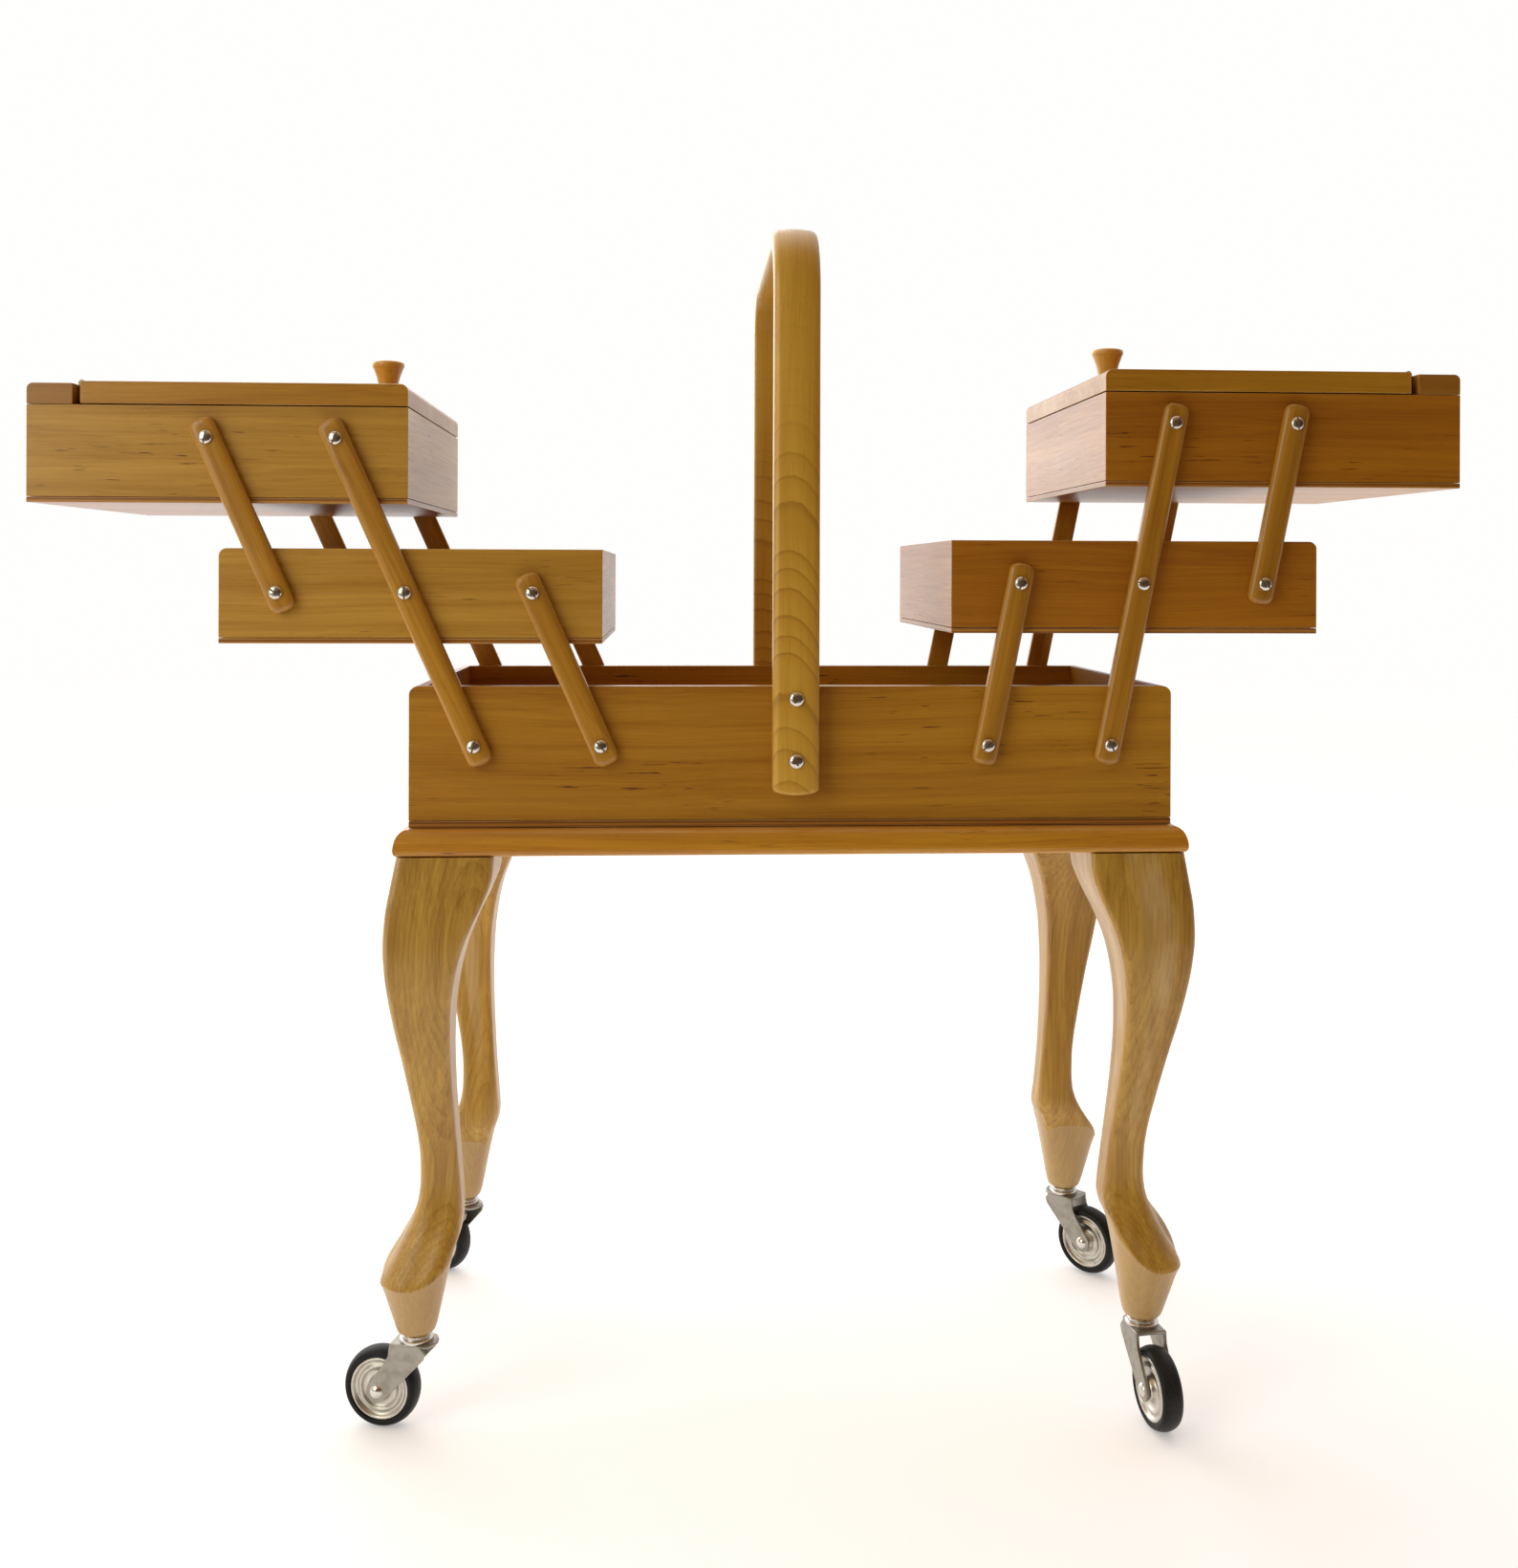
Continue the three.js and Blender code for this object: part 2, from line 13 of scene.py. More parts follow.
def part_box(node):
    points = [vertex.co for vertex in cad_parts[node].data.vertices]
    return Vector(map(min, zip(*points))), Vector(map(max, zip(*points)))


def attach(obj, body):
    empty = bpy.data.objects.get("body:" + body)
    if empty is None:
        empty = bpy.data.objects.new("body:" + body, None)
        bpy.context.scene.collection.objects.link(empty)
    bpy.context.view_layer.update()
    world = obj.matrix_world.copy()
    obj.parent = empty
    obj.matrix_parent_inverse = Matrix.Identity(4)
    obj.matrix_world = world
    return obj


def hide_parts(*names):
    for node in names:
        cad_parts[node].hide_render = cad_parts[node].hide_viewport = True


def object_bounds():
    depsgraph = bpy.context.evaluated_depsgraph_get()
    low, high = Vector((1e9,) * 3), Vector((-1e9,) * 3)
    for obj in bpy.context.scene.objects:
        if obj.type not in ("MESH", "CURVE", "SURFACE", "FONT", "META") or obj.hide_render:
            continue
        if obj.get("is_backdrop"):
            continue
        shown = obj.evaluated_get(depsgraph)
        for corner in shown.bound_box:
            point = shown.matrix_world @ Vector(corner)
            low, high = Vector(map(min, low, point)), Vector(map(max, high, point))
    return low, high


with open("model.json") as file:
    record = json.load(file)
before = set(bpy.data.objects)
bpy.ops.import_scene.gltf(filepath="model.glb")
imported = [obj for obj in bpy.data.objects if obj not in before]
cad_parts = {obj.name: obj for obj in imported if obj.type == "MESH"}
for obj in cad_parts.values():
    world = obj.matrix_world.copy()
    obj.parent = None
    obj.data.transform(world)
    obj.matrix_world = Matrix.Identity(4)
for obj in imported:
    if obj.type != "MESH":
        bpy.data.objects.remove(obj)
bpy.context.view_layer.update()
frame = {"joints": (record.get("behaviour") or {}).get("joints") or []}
J = {j["name"]: j for j in frame["joints"]}


def jpos(name):
    return np.array(J[name]["pos_m"], float) * 1000


def nbox(name):
    lo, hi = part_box(name)
    return np.array(lo) * 1000, np.array(hi) * 1000


# ---------------------------------------------------------------- node helpers
def tree(name):
    m = bpy.data.materials.new(name)
    m.use_nodes = True
    m.node_tree.nodes.clear()
    return m, m.node_tree


def nd(nt, kind, ins=None, **props):
    n = nt.nodes.new(kind)
    for k, v in props.items():
        setattr(n, k, v)
    for k, v in (ins or {}).items():
        s = n.inputs[k]
        if isinstance(v, bpy.types.NodeSocket):
            nt.links.new(v, s)
        else:
            s.default_value = v
    return n


def mth(nt, op, a, b=None, c=None, clamp=False):
    ins = {0: a}
    if b is not None:
        ins[1] = b
    if c is not None:
        ins[2] = c
    return nd(nt, "ShaderNodeMath", ins, operation=op, use_clamp=clamp).outputs[0]


def vec(nt, op, a, b=None, scale=None):
    ins = {0: a}
    if b is not None:
        ins[1] = b
    if scale is not None:
        ins["Scale"] = scale
    return nd(nt, "ShaderNodeVectorMath", ins, operation=op).outputs[0]


def noise(nt, v, s, detail=2.0, rough=0.5, out=0, scale=1.0):
    return nd(nt, "ShaderNodeTexNoise", {"Vector": vec(nt, "MULTIPLY", v, s), "Scale": scale, "Detail": detail, "Roughness": rough}).outputs[out]


def ramp(nt, v, a, b, lo=0.0, hi=1.0):
    return nd(nt, "ShaderNodeMapRange", {"Value": v, "From Min": a, "From Max": b, "To Min": lo, "To Max": hi}, interpolation_type="SMOOTHSTEP").outputs[0]


def mixc(nt, f, a, b, blend="MIX"):
    n = nd(nt, "ShaderNodeMix", {0: f, 6: a, 7: b}, data_type="RGBA", blend_type=blend)
    return n.outputs[2]


def rgb(c):
    return (c[0], c[1], c[2], 1.0)


def attribute(nt, name, out="Fac"):
    return nd(nt, "ShaderNodeAttribute", attribute_name=name).outputs[out]


def principled(nt, colour, rough, normal=None, **consts):
    ins = {"Base Color": colour, "Roughness": rough}
    if normal is not None:
        ins["Normal"] = normal
    for k, v in consts.items():
        ins[k.replace("_", " ")] = v
    b = nd(nt, "ShaderNodeBsdfPrincipled", ins)
    o = nd(nt, "ShaderNodeOutputMaterial", {"Surface": b.outputs[0]})
    return b


def wood(name, light, dark, deep, pale, ring=3.4, ring_amt=0.3, fibre_amt=0.5, tone_amt=0.5, fleck=0.8, fleck_at=0.655,
         rough=0.40, coat=0.35, coat_rough=0.24, figure=0.0, hoof=None, ply=False, spec=0.4, pore=0.25):
    """Lacquered wood: growth rings about a pith that lies beside the board, long fibres, short dark flecks, paler
    arrises that are part wear and part painted highlight.
    """
    m, nt = tree(name)
    g = attribute(nt, "grain", "Vector")
    w = vec(nt, "SUBTRACT", noise(nt, g, (0.0036, 0.016, 0.016), 2.0, 0.5, out=1), (0.5, 0.5, 0.5))
    p = vec(nt, "ADD", g, vec(nt, "SCALE", w, scale=16.0))
    sp = nd(nt, "ShaderNodeSeparateXYZ", {0: p})
    r = mth(nt, "SQRT", mth(nt, "ADD", mth(nt, "MULTIPLY", sp.outputs[1], sp.outputs[1]), mth(nt, "MULTIPLY", sp.outputs[2], sp.outputs[2])))
    saw = mth(nt, "FRACT", mth(nt, "DIVIDE", r, ring))
    late = mth(nt, "POWER", saw, 3.0)
    late = mth(nt, "MULTIPLY", late, ramp(nt, saw, 1.0, 0.93))
    fibre = noise(nt, p, (0.011, 0.95, 0.95), 4.0, 0.62)
    fine = noise(nt, g, (0.05, 3.6, 3.6), 2.0, 0.6)
    tone = noise(nt, g, (0.0022, 0.021, 0.021), 3.0, 0.55)
    streak = noise(nt, p, (0.004, 0.16, 0.16), 3.0, 0.55)
    d = mth(nt, "MULTIPLY_ADD", mth(nt, "SUBTRACT", tone, 0.5), 2.2 * tone_amt, 0.45)
    d = mth(nt, "MULTIPLY_ADD", mth(nt, "SUBTRACT", fibre, 0.5), 1.5 * fibre_amt, d)
    d = mth(nt, "MULTIPLY_ADD", mth(nt, "SUBTRACT", streak, 0.5), 1.6 * fibre_amt, d)
    d = mth(nt, "MULTIPLY_ADD", mth(nt, "SUBTRACT", fine, 0.5), 0.5 * fibre_amt, d)
    d = mth(nt, "MULTIPLY_ADD", late, ring_amt, d, clamp=True)
    col = mixc(nt, d, rgb(light), rgb(dark))
    if figure:
        ph = attribute(nt, "figure")
        fs = mth(nt, "FRACT", mth(nt, "ADD", ph, mth(nt, "MULTIPLY", mth(nt, "SUBTRACT", noise(nt, g, (0.05, 0.12, 0.12), 2.0), 0.5), 0.14)))
        amp = attribute(nt, "figure_amp")
        band = mth(nt, "POWER", fs, 1.6)
        line = mth(nt, "MULTIPLY", ramp(nt, fs, 0.78, 0.96), ramp(nt, fs, 1.0, 0.97))
        col = mixc(nt, mth(nt, "MULTIPLY", mth(nt, "MULTIPLY", band, amp), figure), col, rgb(dark))
        col = mixc(nt, mth(nt, "MULTIPLY", mth(nt, "MULTIPLY", line, amp), figure * 0.34), col, rgb(deep))
    f1 = ramp(nt, noise(nt, p, (0.042, 0.72, 0.72), 2.5, 0.55), fleck_at, fleck_at + 0.075)
    f2 = ramp(nt, noise(nt, g, (0.009, 0.028, 0.028), 2.0), 0.47, 0.62)
    fl = mth(nt, "MULTIPLY", mth(nt, "MULTIPLY", f1, f2), fleck)
    col = mixc(nt, fl, col, rgb(deep))
    po = ramp(nt, noise(nt, g, (0.16, 3.0, 3.0), 1.0), 0.66, 0.74)
    col = mixc(nt, mth(nt, "MULTIPLY", po, pore), col, rgb(deep))
    if ply:
        sg = nd(nt, "ShaderNodeSeparateXYZ", {0: g})
        lay = mth(nt, "FRACT", mth(nt, "DIVIDE", sg.outputs[2], 2.5))
        col = mixc(nt, ramp(nt, lay, 0.35, 0.62), col, rgb([0.6 * a + 0.4 * b for a, b in zip(dark, deep)]))
    if hoof:
        hm = attribute(nt, "hoof")
        col = mixc(nt, mth(nt, "MULTIPLY", hm, 0.8), col, mixc(nt, d, rgb(hoof), rgb([c * 0.86 for c in hoof])))
    # arrises are mixed towards the pale colour under a noise mask: part wear, part painted highlight
    edge = attribute(nt, "edge")
    wear_and_highlight = ramp(nt, noise(nt, g, (0.02, 0.05, 0.05), 3.0), 0.38, 0.62, 0.25, 1.0)
    col = mixc(nt, mth(nt, "MULTIPLY", mth(nt, "MULTIPLY", edge, wear_and_highlight), 0.42), col, rgb(pale))
    hgt = mth(nt, "SUBTRACT", mth(nt, "MULTIPLY_ADD", fibre, 0.6, mth(nt, "MULTIPLY", fine, 0.4)), mth(nt, "MULTIPLY", fl, 0.5))
    orange = noise(nt, g, (0.035, 0.05, 0.05), 2.0)
    hgt = mth(nt, "MULTIPLY_ADD", orange, 0.9, hgt)
    bump = nd(nt, "ShaderNodeBump", {"Strength": 0.16, "Distance": 0.0004, "Height": hgt}).outputs[0]
    rg = mth(nt, "MULTIPLY_ADD", mth(nt, "SUBTRACT", fibre, 0.5), 0.22, rough)
    rg = mth(nt, "MULTIPLY_ADD", mth(nt, "SUBTRACT", tone, 0.5), 0.18, rg, clamp=True)
    principled(nt, col, rg, bump, Coat_Weight=coat, Coat_Roughness=coat_rough, Coat_IOR=1.5, Specular_IOR_Level=spec)
    return m


def metal(name, base, stain, rough, stain_amt=0.4, scratch=0.3, metallic=1.0, grime=(0.08, 0.065, 0.045)):
    m, nt = tree(name)
    g = attribute(nt, "grain", "Vector")
    a = noise(nt, g, (0.16, 0.16, 0.16), 4.0, 0.6)
    b = noise(nt, g, (0.9, 0.9, 0.9), 3.0, 0.6)
    s = noise(nt, g, (0.25, 3.5, 3.5), 2.0, 0.6)
    col = mixc(nt, mth(nt, "MULTIPLY", ramp(nt, a, 0.42, 0.68), stain_amt), rgb(base), rgb(stain))
    col = mixc(nt, mth(nt, "MULTIPLY", ramp(nt, b, 0.6, 0.75), stain_amt * 0.7), col, rgb(grime))
    rg = mth(nt, "MULTIPLY_ADD", a, 0.28, rough - 0.14)
    rg = mth(nt, "MULTIPLY_ADD", mth(nt, "SUBTRACT", s, 0.5), 0.2, rg, clamp=True)
    h = mth(nt, "MULTIPLY_ADD", s, scratch, mth(nt, "MULTIPLY", b, 0.5))
    bump = nd(nt, "ShaderNodeBump", {"Strength": 0.18, "Distance": 0.0002, "Height": h}).outputs[0]
    principled(nt, col, rg, bump, Metallic=metallic)
    return m


def rubber(name):
    m, nt = tree(name)
    g = attribute(nt, "grain", "Vector")
    a = noise(nt, g, (0.11, 0.11, 0.11), 4.0, 0.6)
    b = noise(nt, g, (1.6, 1.6, 1.6), 3.0, 0.6)
    edge = attribute(nt, "edge")
    col = mixc(nt, ramp(nt, a, 0.4, 0.75), rgb((0.004, 0.0045, 0.005)), rgb((0.010, 0.011, 0.012)))
    # the tread crown is painted paler grey in noisy patches: part wear, part painted highlight
    col = mixc(nt, mth(nt, "MULTIPLY", edge, ramp(nt, b, 0.35, 0.7, 0.1, 0.5)), col, rgb((0.045, 0.045, 0.044)))
    rg = mth(nt, "MULTIPLY_ADD", b, 0.25, 0.32, clamp=True)
    bump = nd(nt, "ShaderNodeBump", {"Strength": 0.2, "Distance": 0.0003, "Height": mth(nt, "ADD", a, b)}).outputs[0]
    principled(nt, col, rg, bump, Specular_IOR_Level=0.22)
    return m


HONEY = dict(light=(0.520, 0.250, 0.018), dark=(0.340, 0.130, 0.005), deep=(0.085, 0.020, 0.003), pale=(0.78, 0.50, 0.20))
M = {
    "carcass": wood("carcass_lacquer", **HONEY, ring=5.2, ring_amt=0.15, fibre_amt=0.85, tone_amt=0.65, fleck=1.0, fleck_at=0.632),
    # one carcass lacquer in lit and shaded copies: the left trays' copy is painted lighter (painted window light and
    # sheen), the right trays' copy is painted darker (painted shade)
    "left": wood("carcass_lacquer_light", (0.600, 0.325, 0.046), (0.400, 0.185, 0.014), (0.100, 0.030, 0.004), (0.80, 0.54, 0.24), ring=5.4, ring_amt=0.16, fibre_amt=0.9, tone_amt=0.65, fleck=0.95, fleck_at=0.632),
    "right": wood("carcass_lacquer_amber", (0.500, 0.200, 0.012), (0.310, 0.098, 0.003), (0.080, 0.016, 0.002), (0.78, 0.48, 0.18), ring=5.8, ring_amt=0.14, fibre_amt=0.8, tone_amt=0.65, fleck=0.95, fleck_at=0.636),
    "plinth": wood("plinth_lacquer", (0.680, 0.330, 0.024), (0.450, 0.175, 0.007), (0.080, 0.020, 0.003), (0.78, 0.50, 0.22), ring=5.0, ring_amt=0.22, fibre_amt=0.9, tone_amt=0.8, fleck=0.8, fleck_at=0.64, coat=0.4),
    "lid": wood("lid_lacquer", (0.540, 0.265, 0.020), (0.360, 0.140, 0.006), (0.085, 0.020, 0.003), (0.78, 0.50, 0.20), ring=5.5, ring_amt=0.22, fibre_amt=0.9, tone_amt=0.6, fleck=0.6, fleck_at=0.64),
    "rail": wood("rail_lacquer", (0.410, 0.185, 0.026), (0.290, 0.110, 0.010), (0.085, 0.020, 0.003), (0.78, 0.50, 0.20), ring=6.5, ring_amt=0.10, fleck=0.3),
    "ply": wood("ply_lacquer", (0.580, 0.290, 0.060), (0.400, 0.155, 0.020), (0.095, 0.022, 0.004), (0.78, 0.54, 0.24), ring=9, ring_amt=0.1, fleck=0.3, ply=True),
    "link": wood("link_lacquer", (0.545, 0.262, 0.022), (0.340, 0.140, 0.006), (0.090, 0.026, 0.004), (0.76, 0.50, 0.18), ring=2.6, ring_amt=0.3, fibre_amt=1.0, fleck=0.5, coat=0.45, coat_rough=0.2),
    "handle": wood("handle_lacquer", (0.770, 0.470, 0.070), (0.520, 0.255, 0.016), (0.110, 0.034, 0.006), (0.82, 0.60, 0.26), ring=3.2, ring_amt=0.1, fibre_amt=0.55, fleck=0.35, figure=0.72, coat=0.45),
    "leg": wood("leg_lacquer", (0.560, 0.330, 0.054), (0.310, 0.150, 0.012), (0.150, 0.055, 0.010), (0.90, 0.74, 0.46), ring=2.4, ring_amt=0.36, fibre_amt=0.95, fleck=0.3, hoof=(0.500, 0.325, 0.130), coat=0.3, coat_rough=0.28, rough=0.45),
    "knob": wood("knob_lacquer", (0.860, 0.480, 0.080), (0.640, 0.300, 0.030), (0.150, 0.050, 0.010), (0.84, 0.60, 0.24), ring=2.2, ring_amt=0.3, fleck=0.2, coat=0.5),
    "nickel": metal("nickel_screw", (0.70, 0.68, 0.64), (0.42, 0.38, 0.32), 0.24, 0.35),
    "wheel": metal("nickel_wheel", (0.60, 0.575, 0.52), (0.40, 0.36, 0.29), 0.34, 0.45),
    "zinc": metal("zinc_fork", (0.36, 0.345, 0.305), (0.22, 0.20, 0.16), 0.42, 0.5, metallic=0.92),
    "race": metal("bright_race", (0.72, 0.70, 0.67), (0.45, 0.42, 0.37), 0.22, 0.3),
    "brass": metal("dull_brass", (0.50, 0.42, 0.26), (0.26, 0.2, 0.12), 0.38, 0.5),
    "rubber": rubber("tyre_rubber"),
}


# ---------------------------------------------------------------- mesh helpers
def rnd(seed):
    return random.Random(7919 * seed + 13)


def seeded(name):
    return rnd(sum((i + 1) * ord(c) for i, c in enumerate(name)))


def axes_grain(name, order, pith=(0.0, 55.0), tilt=0.0):
    """Grain coordinates of a straight board: order is (along, across, through) as axis numbers."""
    r = seeded(name)
    off = (r.uniform(-3000, 3000), r.uniform(-18, 18) + pith[0], pith[1] + r.uniform(-12, 14))
    mid = {}

    def f(co):
        c = co[:, list(order)].copy()
        if "m" not in mid:
            mid["m"] = (c.min(0) + c.max(0)) / 2
        c = c - mid["m"]
        if tilt:
            a = math.radians(tilt)
            c[:, 0], c[:, 1] = c[:, 0] * math.cos(a) - c[:, 1] * math.sin(a), c[:, 0] * math.sin(a) + c[:, 1] * math.cos(a)
        return c + np.array(off)

    return f


def finish(name, src, body, mat, rep=(), grain=None, edge=None, sharp=32, weighted=False, attrs=None):
    """Turns a bmesh or mesh in millimetres into a piece that rides on its body."""
    if isinstance(src, bmesh.types.BMesh):
        bmesh.ops.recalc_face_normals(src, faces=src.faces)
        me = bpy.data.meshes.new(name)
        src.to_mesh(me)
        src.free()
    else:
        me = src
        me.name = name
    n = len(me.vertices)
    co = np.zeros(n * 3)
    me.vertices.foreach_get("co", co)
    co = co.reshape(-1, 3)
    g = (grain or axes_grain(name, (0, 1, 2)))(co)
    at = me.attributes.new("grain", "FLOAT_VECTOR", "POINT")
    at.data.foreach_set("vector", np.ascontiguousarray(g, np.float32).ravel())
    if edge is None:
        idx = np.zeros(len(me.polygons), np.int32)
        me.polygons.foreach_get("material_index", idx)
        ea = me.attributes.new("edge", "FLOAT", "FACE")
        ea.data.foreach_set("value", (idx == 1).astype(np.float32))
    else:
        ea = me.attributes.new("edge", "FLOAT", "POINT")
        ea.data.foreach_set("value", np.ascontiguousarray(edge(co), np.float32))
    for k, (dom, fn) in (attrs or {}).items():
        a2 = me.attributes.new(k, "FLOAT", dom)
        if dom == "POINT":
            vals = fn(co)
        else:
            ce = np.zeros(len(me.polygons) * 3)
            me.polygons.foreach_get("center", ce)
            vals = fn(ce.reshape(-1, 3))
        a2.data.foreach_set("value", np.ascontiguousarray(vals, np.float32))
    me.polygons.foreach_set("material_index", np.zeros(len(me.polygons), np.int32))
    me.vertices.foreach_set("co", (co * 0.001).ravel())
    me.materials.clear()
    me.materials.append(mat)
    me.polygons.foreach_set("use_smooth", np.ones(len(me.polygons), bool))
    me.set_sharp_from_angle(angle=math.radians(sharp))
    me.update()
    o = bpy.data.objects.new(name, me)
    bpy.context.scene.collection.objects.link(o)
    if weighted:
        wn = o.modifiers.new("weighted", "WEIGHTED_NORMAL")
        wn.keep_sharp = True
        wn.weight = 80
    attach(o, body)
    if rep:
        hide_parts(*rep)
    return o


def prism(outline, d0, d1, plane="xz"):
    """A polygon run between two depths: plane names the polygon's own two axes."""
    put = {"xz": lambda u, v, d: (u, d, v), "xy": lambda u, v, d: (u, v, d), "yz": lambda u, v, d: (d, u, v)}[plane]
    bm = bmesh.new()
    a = [bm.verts.new(put(u, v, d0)) for u, v in outline]
    b = [bm.verts.new(put(u, v, d1)) for u, v in outline]
    n = len(outline)
    bm.faces.new(a)
    bm.faces.new(b[::-1])
    for i in range(n):
        bm.faces.new((a[i], b[i], b[(i + 1) % n], a[(i + 1) % n]))
    bmesh.ops.recalc_face_normals(bm, faces=bm.faces)
    return bm


def clip(bm, co, no, mark=0):
    r = bmesh.ops.bisect_plane(bm, geom=bm.verts[:] + bm.edges[:] + bm.faces[:], plane_co=co, plane_no=no, clear_outer=True)
    es = [e for e in r["geom_cut"] if isinstance(e, bmesh.types.BMEdge)]
    for f in bmesh.ops.holes_fill(bm, edges=es, sides=0)["faces"]:
        f.material_index = mark


def bevel(bm, width, seg=2, limit=28, keep=None):
    es = [e for e in bm.edges if len(e.link_faces) == 2 and e.calc_face_angle(0) > math.radians(limit) and (keep is None or keep(e))]
    if es:
        bmesh.ops.bevel(bm, geom=es, offset=width, offset_type="OFFSET", segments=seg, profile=0.5, affect="EDGES", clamp_overlap=True, material=1)


def arc(cx, cz, r, a0, a1, n):
    return [(cx + r * math.cos(math.radians(a0 + (a1 - a0) * i / n)), cz + r * math.sin(math.radians(a0 + (a1 - a0) * i / n))) for i in range(n + 1)]


def loft(loops, close=True, caps=True, wrap=False):
    """Faces between loops of equal length."""
    bm = bmesh.new()
    vs = [[bm.verts.new(p) for p in loop] for loop in loops]
    n = len(loops[0])
    ks = len(loops)
    for k in range(ks if wrap else ks - 1):
        a, b = vs[k], vs[(k + 1) % ks]
        for i in range(n if close else n - 1):
            bm.faces.new((a[i], a[(i + 1) % n], b[(i + 1) % n], b[i]))
    if caps and not wrap:
        bm.faces.new(vs[0][::-1])
        bm.faces.new(vs[-1])
    return bm


def lathe(profile, n, closed=False):
    """Profile of (radius, height) turned about +Y. Ends on the axis are closed by one point."""
    bm = bmesh.new()
    rows = []
    for r, h in profile:
        if r < 1e-6:
            rows.append([bm.verts.new((0, h, 0))])
        else:
            rows.append([bm.verts.new((r * math.cos(2 * math.pi * i / n), h, r * math.sin(2 * math.pi * i / n))) for i in range(n)])
    pairs = list(zip(rows, rows[1:])) + ([(rows[-1], rows[0])] if closed else [])
    for a, b in pairs:
        for i in range(n):
            j = (i + 1) % n
            if len(a) == 1 and len(b) > 1:
                bm.faces.new((a[0], b[j], b[i]))
            elif len(b) == 1 and len(a) > 1:
                bm.faces.new((a[i], a[j], b[0]))
            elif len(a) > 1:
                bm.faces.new((a[i], a[j], b[j], b[i]))
    bmesh.ops.recalc_face_normals(bm, faces=bm.faces)
    return bm


def smooth_profile(pts, n=6):
    """Catmull-Rom through profile points, keeping ends."""
    pts = [np.array(p, float) for p in pts]
    out = []
    for i in range(len(pts) - 1):
        p0, p1, p2, p3 = pts[max(i - 1, 0)], pts[i], pts[i + 1], pts[min(i + 2, len(pts) - 1)]
        for k in range(n):
            t = k / n
            out.append(0.5 * ((2 * p1) + (-p0 + p2) * t + (2 * p0 - 5 * p1 + 4 * p2 - p3) * t * t + (-p0 + 3 * p1 - 3 * p2 + p3) * t ** 3))
    out.append(pts[-1])
    return [(max(0.0, float(a)), float(b)) for a, b in out]


def to_mesh(bm):
    me = bpy.data.meshes.new("tmp")
    bm.to_mesh(me)
    bm.free()
    return me


def cut(target, cutter):
    """Target minus cutter; both bmeshes in millimetres. Returns a mesh."""
    a = bpy.data.objects.new("cut_a", to_mesh(target))
    b = bpy.data.objects.new("cut_b", to_mesh(cutter))
    for o in (a, b):
        bpy.context.scene.collection.objects.link(o)
    mod = a.modifiers.new("cut", "BOOLEAN")
    mod.operation, mod.solver, mod.object = "DIFFERENCE", "EXACT", b
    bpy.context.view_layer.update()
    me = bpy.data.meshes.new_from_object(a.evaluated_get(bpy.context.evaluated_depsgraph_get()))
    for o in (a, b):
        old = o.data
        bpy.data.objects.remove(o)
        bpy.data.meshes.remove(old)
    return me


def join_bm(*bms):
    out = bmesh.new()
    for b in bms:
        me = to_mesh(b)
        out.from_mesh(me)
        bpy.data.meshes.remove(me)
    return out


def box_bm(x0, x1, y0, y1, z0, z1):
    return prism([(x0, z0), (x1, z0), (x1, z1), (x0, z1)], y0, y1)


# ---------------------------------------------------------------- boxes
f_lo, f_hi = nbox("base_floor")
HD = f_hi[1]  # half depth of every box


def ring_of_boards(tag, x0, x1, z0, z1, wall, round_l, round_r, body, rep):
    # left trays take the lacquer copy painted lighter (painted light), right trays the copy painted darker (painted
    # shade); the base takes the plain one
    mat = M[tag.split("_")[0]] if "_" in tag else M["carcass"]
    outline = [(x0, z0), (x1, z0)]
    outline += arc(x1 - round_r, z1 - round_r, round_r, 0, 90, 8) if round_r else [(x1, z1)]
    outline += arc(x0 + round_l, z1 - round_l, round_l, 90, 180, 8) if round_l else [(x0, z1)]
    g, ch = 0.004, 0.32
    c = math.sqrt(0.5)

    def free(e):
        # the mitre faces and the eased corner keep their own edges
        if any(f.material_index == 1 for f in e.link_faces):
            return False
        return not all(abs(min(v.co.x - x0, x1 - v.co.x) - (HD - abs(v.co.y))) < 0.1 for v in e.verts)

    for end, s in (("front", -1), ("rear", 1)):
        bm = prism(outline, -HD, HD)
        clip(bm, (0, s * (HD - wall), 0), (0, -s, 0))
        clip(bm, (x0 + g, s * HD, 0), (-c, -s * c, 0))
        clip(bm, (x1 - g, s * HD, 0), (c, -s * c, 0))
        clip(bm, (x0 + ch, s * HD, 0), (-c, s * c, 0), 1)
        clip(bm, (x1 - ch, s * HD, 0), (c, s * c, 0), 1)
        bevel(bm, 0.28, keep=free)
        finish(f"{tag}_board_{end}", bm, body, mat, rep if s < 0 else (), axes_grain(f"{tag}_{end}", (0, 2, 1)), weighted=True)
    for end, s in (("left", -1), ("right", 1)):
        xe = x0 if s < 0 else x1
        bm = prism(outline, -HD, HD)
        clip(bm, (xe - s * wall, 0, 0), (-s, 0, 0))
        clip(bm, (xe - s * g, -HD, 0), (-s * c, -c, 0))
        clip(bm, (xe - s * g, HD, 0), (-s * c, c, 0))
        clip(bm, (xe - s * ch, -HD, 0), (s * c, -c, 0), 1)
        clip(bm, (xe - s * ch, HD, 0), (s * c, c, 0), 1)
        bevel(bm, 0.28, keep=free)
        finish(f"{tag}_board_{end}", bm, body, mat, (), axes_grain(f"{tag}_{end}", (1, 2, 0)), weighted=True)


def plain_board(name, x0, x1, y0, y1, z0, z1, body, mat, rep, order, w=0.25):
    bm = box_bm(x0, x1, y0, y1, z0, z1)
    bevel(bm, w)
    return finish(name, bm, body, mat, rep, axes_grain(name, order), weighted=True)


